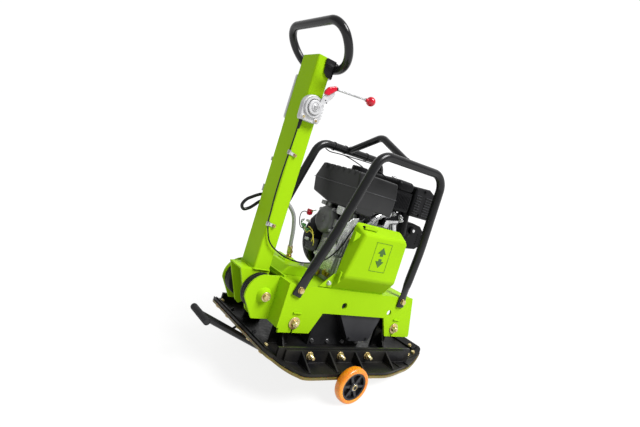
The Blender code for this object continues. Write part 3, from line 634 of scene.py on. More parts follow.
def sled_wall(rear, front, y, low, top):
    """A wall that stands on the curved plate and ends level at the top."""
    lower = [(x, rise(x) + low) for x in stations(rear, front, 48)]
    return prism(lower + [(front, top), (rear, top)], *y)


def edge_curve(points):
    """A smooth outline in plan through (x, distance) points, as a function of x."""
    path = smooth_path([(x, y, 0.0) for x, y in points], 8)

    def edge(x):
        for a, b in zip(path, path[1:]):
            if a.x <= x <= b.x:
                return a.y + (b.y - a.y) * (x - a.x) / max(b.x - a.x, 1e-9)
        return path[0].y if x < path[0].x else path[-1].y
    return edge


def wing_points(margin):
    """The outline of an extension wing as (x, distance from the middle)."""
    rear, front, wide = WING.low.x - margin, WING.high.x + margin, -WING.low.y + margin
    return [(rear, PLATE_HALF), (rear + 0.012, PLATE_HALF + 0.022), (rear + 0.031, wide - 0.039),
            (rear + 0.059, wide - 0.017), (rear + 0.105, wide - 0.002), (0.02, wide), (0.11, wide),
            (0.215, wide - 0.028), (0.3, wide - 0.055), (front, PLATE_HALF)]


def rounded_end(half, rear, front, radius):
    """Half the width along X, less at the two round ends."""
    def edge(x):
        near = max(min(x - rear, front - x), 0.0)
        if near >= radius:
            return half
        return half - radius + math.sqrt(max(radius ** 2 - (radius - near) ** 2, 0.0))
    return edge


def build_base():
    rear, front, thick = PLATE.low.x, PLATE.high.x, 0.012
    edge = rounded_end(PLATE_HALF, rear, front, 0.03)
    shapes = [soften(sled_sheet(rear, front, lambda x: -edge(x), edge, 0.0, thick), 0.0015, angle=50)]
    wall_top = 0.058
    for side in (RIGHT, LEFT):
        y = sorted((side * (PLATE_HALF - 0.0005), side * (PLATE_HALF - 0.0105)))
        shapes.append(soften(sled_wall(-0.325, 0.3, y, 0.004, wall_top), 0.0025, 3, 50))
        seam = side * (PLATE_HALF - 0.0115)
        shapes.append(weld([(x, seam, rise(x) + thick) for x in stations(-0.315, 0.29, 30)], 0.003))
        for end in (-1, 1):
            x = end * BUFFER_X
            outline = [(x - 0.036, 0.01), (x + 0.036, 0.01)] + arc((x, 0.112), 0.034, 0, 180, 12)
            shapes.append(slab(outline, *sorted((side * 0.092, side * 0.104)), 0.002))
            foot = [(x - 0.034, side * 0.106, rise(x - 0.034) + thick),
                    (x + 0.034, side * 0.106, rise(x + 0.034) + thick)]
            shapes.append(weld(foot, 0.003))
            stay = [(side * 0.106, 0.012), (side * 0.15, 0.012), (side * 0.106, 0.07)]
            shapes.append(slab(stay, x - 0.004, x + 0.004, 0.0015, axis="X"))
    piece("base_plate_shell", "base_black", *shapes, body="lower_mass", replaces=["base_plate"])

    for side, word in SIDES:
        build_wing(side, word)

    margin = 0.004
    mat = Extent("paving_mat")
    low, high = -0.0083, -0.0003
    points = [(mat.low.x, PLATE_HALF - 0.034), (mat.low.x + 0.012, PLATE_HALF - 0.008)] \
        + wing_points(margin) + [(mat.high.x - 0.01, PLATE_HALF - 0.012), (mat.high.x, PLATE_HALF - 0.034)]
    edge = edge_curve(points)
    sheet = sled_sheet(mat.low.x, mat.high.x, lambda x: -edge(x), edge, low, high, 110)
    piece("paving_mat_sheet", "polyurethane", soften(sheet, 0.0018, 3, 50), body="lower_mass",
          replaces=["paving_mat"])

    for place in ("rear", "front"):
        node = "mat_clamp_" + place
        clamp = Extent(node)
        strip = sled_sheet(clamp.low.x, clamp.high.x, lambda x: -clamp.high.y, lambda x: clamp.high.y,
                           thick + TOUCH, thick + 0.0063, 8)
        fasteners, black_heads = [], []
        x = clamp.mid.x
        slope = math.asin((abs(x) - SLED_FLAT) / SLED_RADIUS) * math.copysign(1, x)
        up = Vector((-math.sin(slope), 0, math.cos(slope)))
        for k in range(5):
            y = clamp.high.y * (-0.9 + 0.45 * k)
            top = Vector((x, y, rise(x))) + up * (thick + 0.0063)
            # the three middle bolts of the rear clamp are drawn in the base's black, darker than the zinc
            # ones at its ends
            painted = place == "rear" and 0 < k < 4
            (black_heads if painted else fasteners).append(bolt(0.007, top, up, stud=0.004 if k % 2 else 0.0))
            under = Vector((x, y, rise(x))) - up * 0.0085
            fasteners.append(lathe(mm((0, 0), (8.5, 0), (7.5, 2.8), (4, 4), (0, 4)),
                                   under, -up, 24))
        piece(node + "_strip", "base_black", soften(strip, 0.001, 2, 50), body="lower_mass",
              replaces=[node])
        piece(node + "_bolts", "zinc", *fasteners, body="lower_mass")
        if black_heads:
            piece(node + "_black_bolts", "base_black", *black_heads, body="lower_mass")


def build_wing(side, word):
    edge = edge_curve(wing_points(0.0))
    inner = PLATE_HALF + TOUCH
    thick, top = 0.01, 0.054
    plate = sled_sheet(WING.low.x, WING.high.x, lambda x: side * inner,
                       lambda x: side * max(edge(x), inner + 0.001), 0.0, thick, 96)
    shapes = [soften(plate, 0.0018, 3, 50)]
    flange = sorted((side * inner, side * (inner + 0.008)))
    shapes.append(soften(sled_wall(-0.3, 0.265, flange, 0.003, top), 0.002, 3, 50))
    face = side * (inner + 0.009)
    shapes.append(weld([(x, face, rise(x) + thick) for x in stations(-0.296, 0.26, 40)], 0.003))
    outer = -WING.low.y - 0.006
    for x in (-0.238, -0.123, -0.002, 0.155):
        reach = min(outer, edge(x) - 0.004)
        slope = [(side * (inner + 0.005), thick), (side * reach, thick), (side * reach, thick + 0.004),
                 (side * (inner + 0.005), top - 0.001)]
        shapes.append(slab(slope, x - 0.0035, x + 0.0035, 0.0014, 3, axis="X"))
        for flank in (-0.0045, 0.0045):
            shapes.append(weld([(x + flank, side * (inner + 0.01), thick + 0.001),
                                (x + flank, side * (reach - 0.002), thick + 0.001)], 0.0022))
    # the lashing loop welded on the front of the wing
    loop = rounded_rectangle((0.204, inner + 0.014), (0.262, inner + 0.046), 0.004, 3)
    shapes.append(tube([(x, side * y, rise(x) + thick + 0.002) for x, y in loop], 0.0026, 10, True))
    piece("wing_shell_" + word, "base_black", *shapes, body="lower_mass", replaces=["wing_" + word])

    fasteners = []
    for x in (-0.205, -0.072, 0.057):
        at = (x, side * (inner + 0.0085), 0.037)
        fasteners.append(bolt(0.0125, at, (0, side, 0), washer_size=2.2, stud=0.016))
    piece(f"wing_bolts_{word}", "zinc", *fasteners, body="lower_mass")
    rivets = []
    for x in (0.318, 0.345):
        at = (x, side * (PLATE_HALF - 0.016), rise(x) + 0.0125)
        rivets.append(bolt(0.008, at, (-0.35, 0, 0.94), washer_size=1.9))
    piece(f"corner_bolts_{word}", "zinc", *rivets, body="lower_mass")


# ---------------------------------------------------------------- exciter and belt

def build_exciter():
    housing = Extent("exciter_housing")
    piece("exciter_casting", "cast_black", refined("exciter_housing", 0.006, 3), body="lower_mass",
          replaces=["exciter_housing"])
    for side, word in SIDES:
        node = "exciter_cover_" + word
        cover = Extent(node)
        piece(node + "_casting", "cast_black", refined(node, 0.003, 3), body="lower_mass", replaces=[node])
        face = cover.low.y if side == RIGHT else cover.high.y
        screws = []
        for k in range(4):
            x = cover.low.x + 0.016 + k * (cover.high.x - cover.low.x - 0.032) / 3
            for z in (cover.low.z + 0.016, cover.high.z - 0.014):
                screws.append(bolt(0.008, (x, face, z), (0, side, 0), washer_size=1.9))
        piece(node + "_screws", "steel", *screws, body="lower_mass")
        repaint("steel", "drive_bearing_" + word, "driven_bearing_" + word)
    breather = hex_head(0.016, (housing.low.x + 0.03, 0.05, housing.high.z), Z)
    piece("exciter_plug", "brass", breather, body="lower_mass")
    repaint("steel", "drive_eccentric_shaft", "driven_eccentric_shaft", "drive_gear", "driven_gear",
            "crankshaft")
    repaint("guard_grey", "exciter_pulley", "clutch_drum")
    piece("drive_belt", "rubber", refined("v_belt", 0.0), body="lower_mass", replaces=["v_belt"])
    guard = Extent("belt_guard_lower")
    piece("lower_guard_shell", "guard_grey", refined("belt_guard_lower", 0.0016, 2), body="lower_mass",
          replaces=["belt_guard_lower"])
    screws = [bolt(0.005, (x, guard.low.y, z), (0, -1, 0), washer_size=1.8)
              for x, z in ((guard.mid.x - 0.022, guard.low.z + 0.014),
                           (guard.mid.x + 0.066, guard.low.z + 0.014))]
    piece("lower_guard_screws", "cast_black", *screws, body="lower_mass")


# ---------------------------------------------------------------- upper frame

def build_upper_frame():
    for side, word in SIDES:
        node = "frame_side_" + word
        shapes = [refined(node, 0.0014, 2)]
        for end in (-1, 1):
            x, z = end * BUFFER_X, BUFFER_Z + 0.036
            shapes.append(block((x, side * (PANEL_OUT + 0.003), z), (0.034, 0.0065, 0.0048), 0.0014, 2))
        piece("side_plate_" + word, "green", *shapes, replaces=[node])

        fasteners = []
        for end, place in ((-1, "rear"), (1, "front")):
            at = (end * BUFFER_X, side * (PANEL_OUT + TOUCH), BUFFER_Z)
            fasteners.append(disc(0.0215, 0.0, 0.0032, at=at, out=(0, side, 0)))
            at = (end * BUFFER_X, side * (PANEL_OUT + 0.0035), BUFFER_Z)
            fasteners.append(bolt(0.0135, at, (0, side, 0), washer_size=1.9, stud=0.005))
            node = f"rubber_buffer_{place}_{word}"
            buffer = Extent(node)
            low, high = buffer.low.y, buffer.high.y
            radius = buffer.high.z - BUFFER_Z
            profile = [(0.0, low), (radius * 0.9, low), (radius, low + 0.004)]
            profile += [(radius - 0.004 * math.sin(math.pi * k / 8),
                         low + 0.006 + (high - low - 0.012) * k / 8)
                        for k in range(9)]
            profile += [(radius, high - 0.004), (radius * 0.9, high), (0.0, high)]
            piece(node + "_body", "rubber", lathe(profile, (end * BUFFER_X, 0, BUFFER_Z), Y, 40),
                  replaces=[node])
        piece("buffer_bolts_" + word, "zinc", *fasteners)

    deck = Extent("engine_deck")
    shapes = [refined("engine_deck", 0.001, 2)]
    # a stiffening channel across the rear of the deck, with the hose boss on it
    channel = [(-0.29, DECK_TOP), (-0.16, DECK_TOP), (-0.17, CHANNEL_TOP - 0.006), (-0.18, CHANNEL_TOP),
               (-0.262, CHANNEL_TOP)]
    shapes.append(slab(channel, -0.06, 0.14, 0.0035, 3))
    shapes.append(disc(0.021, 0.0, 0.01, 0.0025, (-0.214, 0.029, CHANNEL_TOP - 0.001), Z))
    shapes.append(block((-0.214, 0.029, CHANNEL_TOP), (0.058, 0.05, 0.008), 0.003, 3))
    for y in (-0.062, 0.142):
        shapes.append(weld([(-0.288, y, DECK_TOP), (-0.168, y, DECK_TOP)], 0.0022))
    rim = [(deck.low.x + 0.001, -0.1), (deck.low.x + 0.007, -0.1), (deck.low.x + 0.007, 0.1),
           (deck.low.x + 0.001, 0.1)]
    shapes.append(slab(rim, DECK_TOP - 0.001, DECK_TOP + 0.01, 0.0012, axis="Z"))
    piece("engine_deck_plate", "green", *shapes, replaces=["engine_deck"])

    fitting = mm((0, 0), (11.5, 0), (11.5, 10), (8, 12), (8, 18))
    fitting += mm((11, 19), (11, 26), (8.5, 28), (0, 28))
    piece("hose_fitting", "brass",
          lathe(fitting, (-0.214, 0.029, CHANNEL_TOP + 0.008), Vector((-0.06, -0.03, 1.0)), 36,
                shape=lambda angle, radius: hexagon(0.02)(angle, radius) if radius > 0.0105 else radius))
    piece("deck_bolts", "steel", bolt(0.01, (-0.192, -0.03, CHANNEL_TOP), Z),
          bolt(0.01, (-0.248, 0.095, CHANNEL_TOP), Z))

    for side, word in SIDES:
        node = "pivot_rubber_" + word
        rubber = Extent(node)
        low, high = rubber.low.y, rubber.high.y
        radius = rubber.high.z - PIVOT.z
        groove = 0.0035
        third = (high - low) / 3
        profile = [(0.0104, low), (radius - 0.003, low), (radius, low + 0.003)]
        for k in (1, 2):
            seam = low + third * k
            profile += [(radius, seam - groove / 2), (radius - groove, seam), (radius, seam + groove / 2)]
        profile += [(radius, high - 0.003), (radius - 0.003, high), (0.0104, high)]
        piece(node + "_disc", "rubber", lathe(profile, PIVOT, Y, 64, closed=True), replaces=[node])
        rings = [disc(radius - 0.0012, low + third * k - 0.0007, low + third * k + 0.0007, 0.0003,
                      PIVOT, Y, 64, bore=radius - 0.008) for k in (1, 2)]
        piece(node + "_plates", "steel", *rings)

    axle = Extent("pivot_axle")
    piece("pivot_bolt", "steel", disc(0.0095, axle.low.y + 0.004, axle.high.y - 0.004, 0.0005, PIVOT),
          replaces=["pivot_axle"])
    shapes = []
    for side in (RIGHT, LEFT):
        out = Y * side
        shapes.append(disc(0.0165, 0.0, 0.0024, at=PIVOT + out * 0.1095, out=out, bore=0.005))
        shapes.append(hex_head(0.013, PIVOT + out * 0.1119, out, 0.6))
    piece("pivot_nuts", "zinc", *shapes)


def build_belt_cover():
    cover = Extent("belt_cover")
    back, face = cover.high.y, cover.low.y
    rear, front, low, high = cover.low.x, cover.high.x, cover.low.z, cover.high.z
    back_outline = [(rear, low), (front, low), (front, high - 0.017), (front - 0.018, high),
                    (rear + 0.027, high)]
    face_outline = [(rear + 0.007, low + 0.0555), (front - 0.008, low + 0.0555),
                    (front - 0.01, high - 0.034), (front - 0.028, high - 0.024),
                    (rear + 0.047, high - 0.029)]

    def shell(inset, y_back, y_face):
        bm = bmesh.new()
        centre = Vector(((rear + front) / 2, (low + high) / 2))
        loops = []
        for points, y in ((back_outline, y_back), (face_outline, y_face)):
            shrunk = [Vector(p) + (centre - Vector(p)).normalized() * inset for p in points]
            loops.append([bm.verts.new((p.x, y, p.y)) for p in shrunk])
        bm.faces.new(loops[1])
        for i in range(len(back_outline)):
            j = (i + 1) % len(back_outline)
            bm.faces.new((loops[0][i], loops[0][j], loops[1][j], loops[1][i]))
        return bm

    body = shell(0.0, back, face)
    corner_edges = [e for e in body.edges if len(e.link_faces) == 2]
    bmesh.ops.bevel(body, geom=corner_edges, offset=0.01, segments=5, profile=0.5, affect="EDGES")
    cover_piece = piece("belt_cover_shell", "green", body, replaces=["belt_cover"])
    thickness = cover_piece.modifiers.new("Sheet", "SOLIDIFY")
    thickness.thickness = 0.0022
    thickness.offset = -1.0
    cover_piece.modifiers.move(1, 0)

    hem = [(rear + 0.004, low - 0.006), (front - 0.004, low - 0.006), (front - 0.008, low + 0.022),
           (rear + 0.008, low + 0.022)]
    piece("belt_cover_hem", "green", slab(hem, back + 0.0008, back + 0.003, 0.0008))
    # pressed corners on the sloping rear side
    for name, z, size in (("upper", high - 0.05, 0.02), ("lower", low + 0.046, 0.024)):
        share = (z - low) / (high - low)
        y = back + (face - back) * 0.42
        x = rear + 0.003 + 0.016 * share
        outline = [(x - 0.004, z + size), (x + size * 1.5, z + size * 0.5), (x - 0.004, z - size)]
        piece(f"cover_emboss_{name}", "green", slab(outline, y - 0.009, y + 0.004, 0.003, 3))
    # the fixing tab, its screw, and the vent in the top
    tab = [(rear - 0.052, low + 0.001), (rear + 0.002, low + 0.001), (rear + 0.01, low + 0.052),
           (rear - 0.002, low + 0.052)]
    piece("cover_tab", "green", slab(tab, back - 0.0035, back - 0.0005, 0.0008, 2))
    piece("cover_screw", "steel",
          bolt(0.008, (rear - 0.016, back - 0.0038, low + 0.018), (0, -1, 0), stud=0.004))
    vent_x, vent_y = rear + 0.075, (back + face) / 2 + 0.002
    # painted shade: a near-black block stands in for the shade inside the vent opening in the cover's top
    piece("cover_vent", "dark", block((vent_x, vent_y, high - 0.0092), (0.06, 0.014, 0.006), 0.002, 2))
    piece("cover_vent_bars", "brass",
          *[block((vent_x + 0.011 * k, vent_y, high - 0.008), (0.003, 0.012, 0.005), 0.0012)
            for k in range(-2, 3)])
    piece("cover_vent_lip", "green",
          block((vent_x, vent_y - 0.0085, high - 0.0105), (0.061, 0.0045, 0.01), 0.0018, 3))

    # emblem: a plain frame with two opposed arrows, for the machine's two directions
    y = face - 0.0005
    cx, cz, half_w, half_h = (rear + front) / 2 + 0.01, (low + high) / 2 + 0.022, 0.0385, 0.052
    strips = []
    for sign in (-1, 1):
        strips.append(block((cx + sign * half_w, y, cz), (0.0011, 0.0008, half_h * 2), 0.0))
        strips.append(block((cx, y, cz + sign * half_h), (half_w * 2, 0.0008, 0.0011), 0.0))
        tip, base = (cx, cz + sign * 0.037), cz + sign * 0.014
        arrow = [tip, (cx - 0.02, base), (cx - 0.0075, base), (cx - 0.0075, cz + sign * 0.005),
                 (cx + 0.0075, cz + sign * 0.005), (cx + 0.0075, base), (cx + 0.02, base)]
        strips.append(prism(arrow, y - 0.0004, y + 0.0004))
    piece("direction_emblem", "emblem", *strips)


def build_roll_cage():
    for side, word in SIDES:
        node = "roll_hoop_" + word
        hoop = Extent(node)
        y, radius = hoop.mid.y, (hoop.high.y - hoop.low.y) / 2
        rear_corner = -0.115 if side == RIGHT else -0.13
        corners = [(-0.274, y, 0.206), (rear_corner, y, 0.731), (0.226, y, 0.74), (0.236, y, 0.203)]
        path = round_corners(corners, 0.06, 14)
        ends = [path[0].lerp(path[1], k / 26) for k in range(26)]
        finish = [path[-2].lerp(path[-1], k / 26) for k in range(1, 27)]
        path = ends + path[1:-1] + finish
        length = sum((b - a).length for a, b in zip(path, path[1:]))
        flat_end, taper, lean = 0.056, 0.048, 0.21

        def section(share):
            past = min(share, 1 - share) * length - flat_end
            full, upright = ease(past / taper), ease(past / lean)
            return 1.2 - 0.2 * full, 0.3 + 0.7 * full, Vector((0, -side * radius * 0.7 * (1 - upright), 0))
        piece(f"hoop_{word}_tube", "tube_black",
              soften(tube(path, radius, 28, section=section), 0.002, 2, 60), replaces=[node])
        fasteners = []
        for foot, head in ((path[0], path[30]), (path[-1], path[-31])):
            centre = foot.lerp(head, 0.024 / (head - foot).length)
            at = (centre.x, side * (PANEL_OUT + 0.0005 + 2 * radius * 0.3), centre.z)
            fasteners.append(bolt(0.0115, at, (0, side, 0), washer_size=2.0))
        piece(f"hoop_bolts_{word}", "zinc", *fasteners)

    bar = Extent("lifting_bar")
    half, peak = bar.high.y, 0.812
    foot = Extent("roll_hoop_left").high.z - 0.0155
    corners = [(bar.mid.x, -half, foot), (bar.mid.x, 0.0, peak), (bar.mid.x, half, foot)]
    shapes = [tube(round_corners(corners, 0.05, 14), 0.0135, 26)]
    for side in (RIGHT, LEFT):
        ring = [(bar.mid.x + 0.0145 * math.cos(a), side * (half - 0.001), foot + 0.0145 * math.sin(a))
                for a in (2 * math.pi * k / 24 for k in range(25))]
        shapes.append(tube(ring, 0.0022, 8))
    piece("lifting_bar_tube", "tube_black", *shapes, replaces=["lifting_bar"])


# ---------------------------------------------------------------- engine

def build_crankcase():
    case = Extent("crankcase")
    foot, top = case.low.z, case.high.z
    outline = [(-0.092, foot + 0.01), (0.088, foot + 0.01), (0.088, 0.45), (0.05, top - 0.004),
               (-0.05, top - 0.004), (-0.086, 0.44)]
    shapes = [slab(outline, case.low.y + 0.01, case.high.y, 0.01, 4)]
    shapes.append(box((-0.1, 0.1), (case.low.y + 0.004, case.high.y - 0.002), (foot, foot + 0.015),
                      0.003, 3))
    for x in (-0.06, -0.03, 0.0, 0.03, 0.06):
        shapes.append(block((x, case.low.y + 0.009, foot + 0.11), (0.006, 0.006, 0.19), 0.002, 2))
    for z in (0.3, 0.335, 0.405):
        shapes.append(block((-0.0875, (case.low.y + case.high.y) / 2, z), (0.006, 0.105, 0.006), 0.002, 2))
    piece("crankcase_casting", "casting", *shapes, replaces=["crankcase"])

    side = [(-0.084, foot + 0.016), (0.084, foot + 0.016), (0.084, 0.44), (0.04, 0.462), (-0.04, 0.462),
            (-0.082, 0.43)]
    piece("crankcase_cover", "bright", slab(side, case.low.y, case.low.y + 0.012, 0.004, 3))
    screws = []
    for x, z in ((-0.072, 0.272), (-0.072, 0.34), (-0.07, 0.415), (0.0, 0.452), (0.07, 0.272),
                 (0.072, 0.4)):
        screws.append(bolt(0.008, (x, case.low.y, z), (0, -1, 0), washer_size=1.8))
    for x in (-0.088, 0.088):
        for y in (-0.075, 0.03):
            screws.append(bolt(0.009, (x, y, foot + 0.015), Z, washer_size=1.9))
    piece("crankcase_screws", "zinc", *screws)

    # the oil filler, its plug and the drain on the rear face
    plugs = [lathe(mm((0, 0), (14, 0), (14, 6), (10, 8), (10, 16), (0, 16)),
                   (-0.092, -0.06, foot + 0.028), -X, 36,
                   shape=lambda a, r: hexagon(0.026)(a, r) if r > 0.012 else r),
             hex_head(0.012, (-0.1, -0.02, foot + 0.016), -X)]
    piece("oil_plugs", "brass", *plugs)
    edge = mm((-104, 470), (-82, 492), (-56, 497), (-50, 340), (-122, 340), (-117, 400))
    ribs = [tube([(-0.114 + 0.013 * k, -0.099, 0.35), (-0.092 + 0.01 * k, -0.099, 0.474)], 0.002, 10)
            for k in range(4)]
    piece("crankcase_flange", "bright", slab(edge, -0.0985, -0.0945, 0.002, 3), *ribs)
    rear = (-0.086, 0.026, 0.452)
    cap = mm((0, 0), (49, 0), (52, 4), (52, 20), (49, 29), (42, 33), (36, 33.5), (35, 32.5), (12, 32.5),
             (10, 35), (0, 35))
    piece("rear_cover", "casting_mid", lathe(cap, rear, -X, 56))
    screws = []
    for k in range(4):
        a = math.radians(35 + 90 * k)
        at = (rear[0] - 0.02, rear[1] + 0.0545 * math.cos(a), rear[2] + 0.0545 * math.sin(a))
        screws.append(bolt(0.006, at, -X, washer_size=1.9))
        screws.append(lathe(mm((0, -22), (7.5, -22), (7.5, 0), (0, 0)), at, -X, 20))
    piece("rear_cover_screws", "casting", *screws)
    lower = mm((-80, 275), (20, 270), (36, 320), (20, 385), (-50, 400), (-84, 360))
    heads = mm((-96, -74, 284), (-96, -72, 358), (-96, 14, 278), (-96, 26, 322), (-96, -30, 388))
    piece("rear_plate", "bright", slab(lower, -0.098, -0.09, 0.003, 3, axis="X"),
          *[lathe(mm((0, 0), (7, 0), (7, 10), (0, 11)), at, -X, 20) for at in heads])
    piece("governor_plate", "bright", block((-0.108, -0.048, 0.507), (0.005, 0.04, 0.024), 0.0015, 2),
          block((-0.104, -0.048, 0.492), (0.012, 0.034, 0.004), 0.001, 2),
          *[block((-0.1115, -0.048 + 0.008 * k, 0.507), (0.003, 0.003, 0.02), 0.0006)
            for k in range(-2, 3)])
    piece("governor_bracket", "casting", block((-0.092, 0.072, 0.51), (0.02, 0.03, 0.016), 0.002, 2),
          block((-0.094, -0.03, 0.452), (0.02, 0.022, 0.03), 0.002, 2),
          block((-0.088, 0.052, 0.508), (0.014, 0.03, 0.02), 0.002, 2))
    piece("carburettor_body", "casting", block((-0.03, -0.04, 0.492), (0.06, 0.06, 0.03), 0.004, 3),
          block((0.04, -0.05, 0.5), (0.05, 0.05, 0.036), 0.005, 3),
          disc(0.02, 0.0, 0.018, 0.002, (-0.02, -0.055, 0.478), -Z, 32),
          disc(0.016, 0.0, 0.01, 0.002, (0.04, -0.074, 0.5), -Y, 32))
    piece("engine_shroud", "plastic", block((0.02, 0.002, 0.502), (0.19, 0.08, 0.056), 0.006, 3),
          block((0.11, -0.01, 0.553), (0.12, 0.08, 0.012), 0.003, 3),
          block((-0.02, -0.082, 0.505), (0.06, 0.014, 0.028), 0.003, 3))
    elbow = mm((2, -78, 466), (14, -80, 488), (34, -82, 512), (60, -82, 530), (94, -76, 540))
    folds = []
    for at, heading in (((0.02, -0.081, 0.496), (0.6, 0, 0.8)), ((0.034, -0.082, 0.512), (0.7, 0, 0.7)),
                        ((0.05, -0.082, 0.524), (0.8, 0, 0.6))):
        folds.append(lathe(mm((11.5, -2), (15, -1), (15, 1), (11.5, 2)), at, heading, 28, closed=True))
    piece("exhaust_elbow", "polished", tube(smooth_path(elbow, 6), 0.012, 24), *folds,
          lathe(mm((0, -4), (18, -4), (18, 4), (0, 4)), elbow[-1], (1, 0.3, 0.3), 32))


def build_fan_and_recoil():
    fan = Extent("fan_housing")
    radius = fan.high.x - CRANK.x
    low, high = fan.low.y, fan.high.y
    profile = [(0.0, low), (radius - 0.01, low), (radius - 0.002, low + 0.004), (radius, low + 0.01),
               (radius, low + 0.02), (radius - 0.003, low + 0.022), (radius - 0.003, high - 0.012),
               (radius - 0.007, high - 0.004), (radius - 0.014, high), (0.0, high)]
    at = (CRANK.x, 0, CRANK.z)
    piece("fan_housing_shell", "plastic", lathe(profile, at, Y, 72), replaces=["fan_housing"])
    recoil = Extent("recoil_cover")
    radius, high = recoil.high.x - CRANK.x, recoil.high.y
    profile = [(0.0, recoil.low.y), (radius, recoil.low.y), (radius, recoil.low.y + 0.006),
               (radius - 0.008, recoil.low.y + 0.016), (radius * 0.66, high - 0.004),
               (radius * 0.3, high - 0.003), (radius * 0.28, high), (0.0, high)]
    ribs = []
    for k in range(30):
        turn = Matrix.Translation((CRANK.x, 0, CRANK.z)) @ Matrix.Rotation(2 * math.pi * k / 30, 4, "Y")
        rib = block((radius * 0.68, high - 0.0085, 0), (radius * 0.46, 0.007, 0.004), 0.0012, 2)
        ribs.append(moved(rib, turn))
    piece("recoil_cover_shell", "plastic", lathe(profile, at, Y, 64), *ribs, replaces=["recoil_cover"])
    screws = []
    for k in range(3):
        a = math.radians(30 + 120 * k)
        screws.append(bolt(0.006, (CRANK.x + 0.112 * math.cos(a), fan.high.y,
                                   CRANK.z + 0.112 * math.sin(a)), Y))
    piece("fan_housing_screws", "zinc", *screws)
    grip = Extent("recoil_handle")
    half = (grip.high - grip.low).length / 2 - 0.008
    profile = [(0.0, -half), (0.006, -half + 0.001), (0.0088, -half + 0.006), (0.008, -half * 0.4),
               (0.0086, 0.0),
               (0.008, half * 0.4), (0.0088, half - 0.006), (0.006, half - 0.001), (0.0, half)]
    piece("recoil_grip", "plastic", lathe(profile, grip.mid, Z, 28), body="recoil",
          replaces=["recoil_handle"])
    # the rope from its guide to the grip, on no body
    pull = Vector((0, 0.9507, 0.3101))
    guide = grip.mid - pull * 0.028
    piece("rope_guide", "steel", lathe(mm((0, 0), (9, 0), (9, 12), (7, 18), (0, 18)), guide, pull, 32))
    low, high = guide + pull * 0.008, grip.mid - pull * 0.004
    rope = piece("starter_rope", "cable", tube([low.lerp(high, k / 16) for k in range(17)], 0.0018, 12),
                 body=None)
    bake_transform(rope)


def build_tank():
    tank = Extent("fuel_tank")
    x = (tank.low.x, tank.high.x)
    outline = mm((-96, 530), (40, 515), (162, 542), (178, 600), (146, 660), (-84, 658), (-96, 600))
    shapes = [slab(outline, x[0] - 0.002, x[1] + 0.001, 0.007, 5, axis="X")]
    # painted highlight: the seam flange is drawn in a lighter grey than the tank, standing in for the light
    # line it catches
    seam = rounded_rectangle((x[0] - 0.005, -0.0985), (x[1] + 0.004, 0.184), 0.01)
    piece("fuel_tank_seam_painted_highlight", "casting_dark", slab(seam, 0.596, 0.599, 0.001, axis="Z"))
    sump = [(x[0] - 0.001, 0.56), (x[0] - 0.001, 0.518), (-0.07, 0.51), (-0.02, 0.505), (0.004, 0.514),
            (0.03, 0.545)]
    shapes.append(slab(sump, -0.0955, 0.03, 0.008, 4))
    for k in range(6):
        y = -0.066 + k * 0.034
        rib = [(y - 0.009, 0.654), (y + 0.009, 0.654), (y + 0.005, 0.6578), (y - 0.005, 0.6578)]
        shapes.append(slab(rib, x[0] - 0.0028, -0.076 if 1 < k < 4 else x[1] - 0.02, 0.0012, 3, axis="X"))
        y += 0.017
        shapes.append(lathe([(0.0, x[0] - 0.004), (0.01, x[0] - 0.003), (0.011, x[0] + 0.01),
                             (0.0, x[0] + 0.014)],
                            (0, y, 0.65), X, 20))
    neck = Extent("fuel_cap").mid
    shapes.append(disc(0.036, 0.0, 0.0028, 0.001, (neck.x, neck.y, 0.6548), Z))
    piece("fuel_tank_shell", "tank", *shapes, replaces=["fuel_tank"])
    cap = Extent("fuel_cap")
    low, high = cap.low.z, cap.high.z

    def knurled(angle, radius):
        return radius - 0.0011 * (1 + math.cos(24 * angle)) / 2 if radius > 0.0285 else radius
    profile = [(0.0, low), (0.0315, low), (0.032, low + 0.002), (0.0305, high - 0.004),
               (0.0275, high - 0.001), (0.012, high), (0.0, high)]
    piece("fuel_cap_knurled", "plastic", lathe(profile, (cap.mid.x, cap.mid.y, 0), Z, 144, shape=knurled),
          body="cap", replaces=["fuel_cap"])
    bracket = mm((-86, 470), (-60, 470), (-52, 536), (-94, 536))
    piece("tank_brackets", "casting_dark", slab(bracket, 0.035, 0.041, 0.0012),
          slab(bracket, -0.058, -0.052, 0.0012),
          block((-0.074, -0.008, 0.531), (0.036, 0.11, 0.006), 0.0012))
    piece("tank_bolts", "zinc", bolt(0.008, (-0.076, 0.02, 0.528), -Z, stud=0.008),
          bolt(0.008, (-0.076, -0.036, 0.528), -Z, stud=0.008))


def build_air_cleaner():
    box_at = Extent("air_cleaner")
    low, high = box_at.low, box_at.high - Z * 0.006
    split = high.z - 0.045
    shapes = [box((low.x, high.x), (low.y, high.y), (low.z, split - 0.001), 0.01, 4),
              box((low.x + 0.0005, high.x - 0.0005), (low.y + 0.0005, high.y - 0.0005),
                  (split + 0.001, high.z), 0.018, 6),
              box((low.x + 0.004, high.x - 0.004), (low.y + 0.004, high.y - 0.004),
                  (split - 0.004, split + 0.004))]
    for k in range(9):
        x = low.x + 0.014 + k * (high.x - low.x - 0.028) / 8
        shapes.append(block((x, low.y + 0.0003, (low.z + split) / 2),
                            (0.0036, 0.003, split - low.z - 0.024), 0.001, 2))
    for k in range(12):
        y = low.y + 0.016 + k * (high.y - low.y - 0.032) / 11
        shapes.append(block((low.x + 0.0003, y, (low.z + split) / 2),
                            (0.003, 0.0036, split - low.z - 0.024), 0.001, 2))
    piece("air_cleaner_case", "plastic", *shapes, replaces=["air_cleaner"])
    centre = box_at.mid
    wing_nut = [disc(0.009, 0.0, 0.004, 0.001, (centre.x, centre.y, high.z), Z),
                block((centre.x, centre.y, high.z + 0.0045), (0.026, 0.005, 0.008), 0.002, 3)]
    piece("air_cleaner_nut", "steel", *wing_nut)


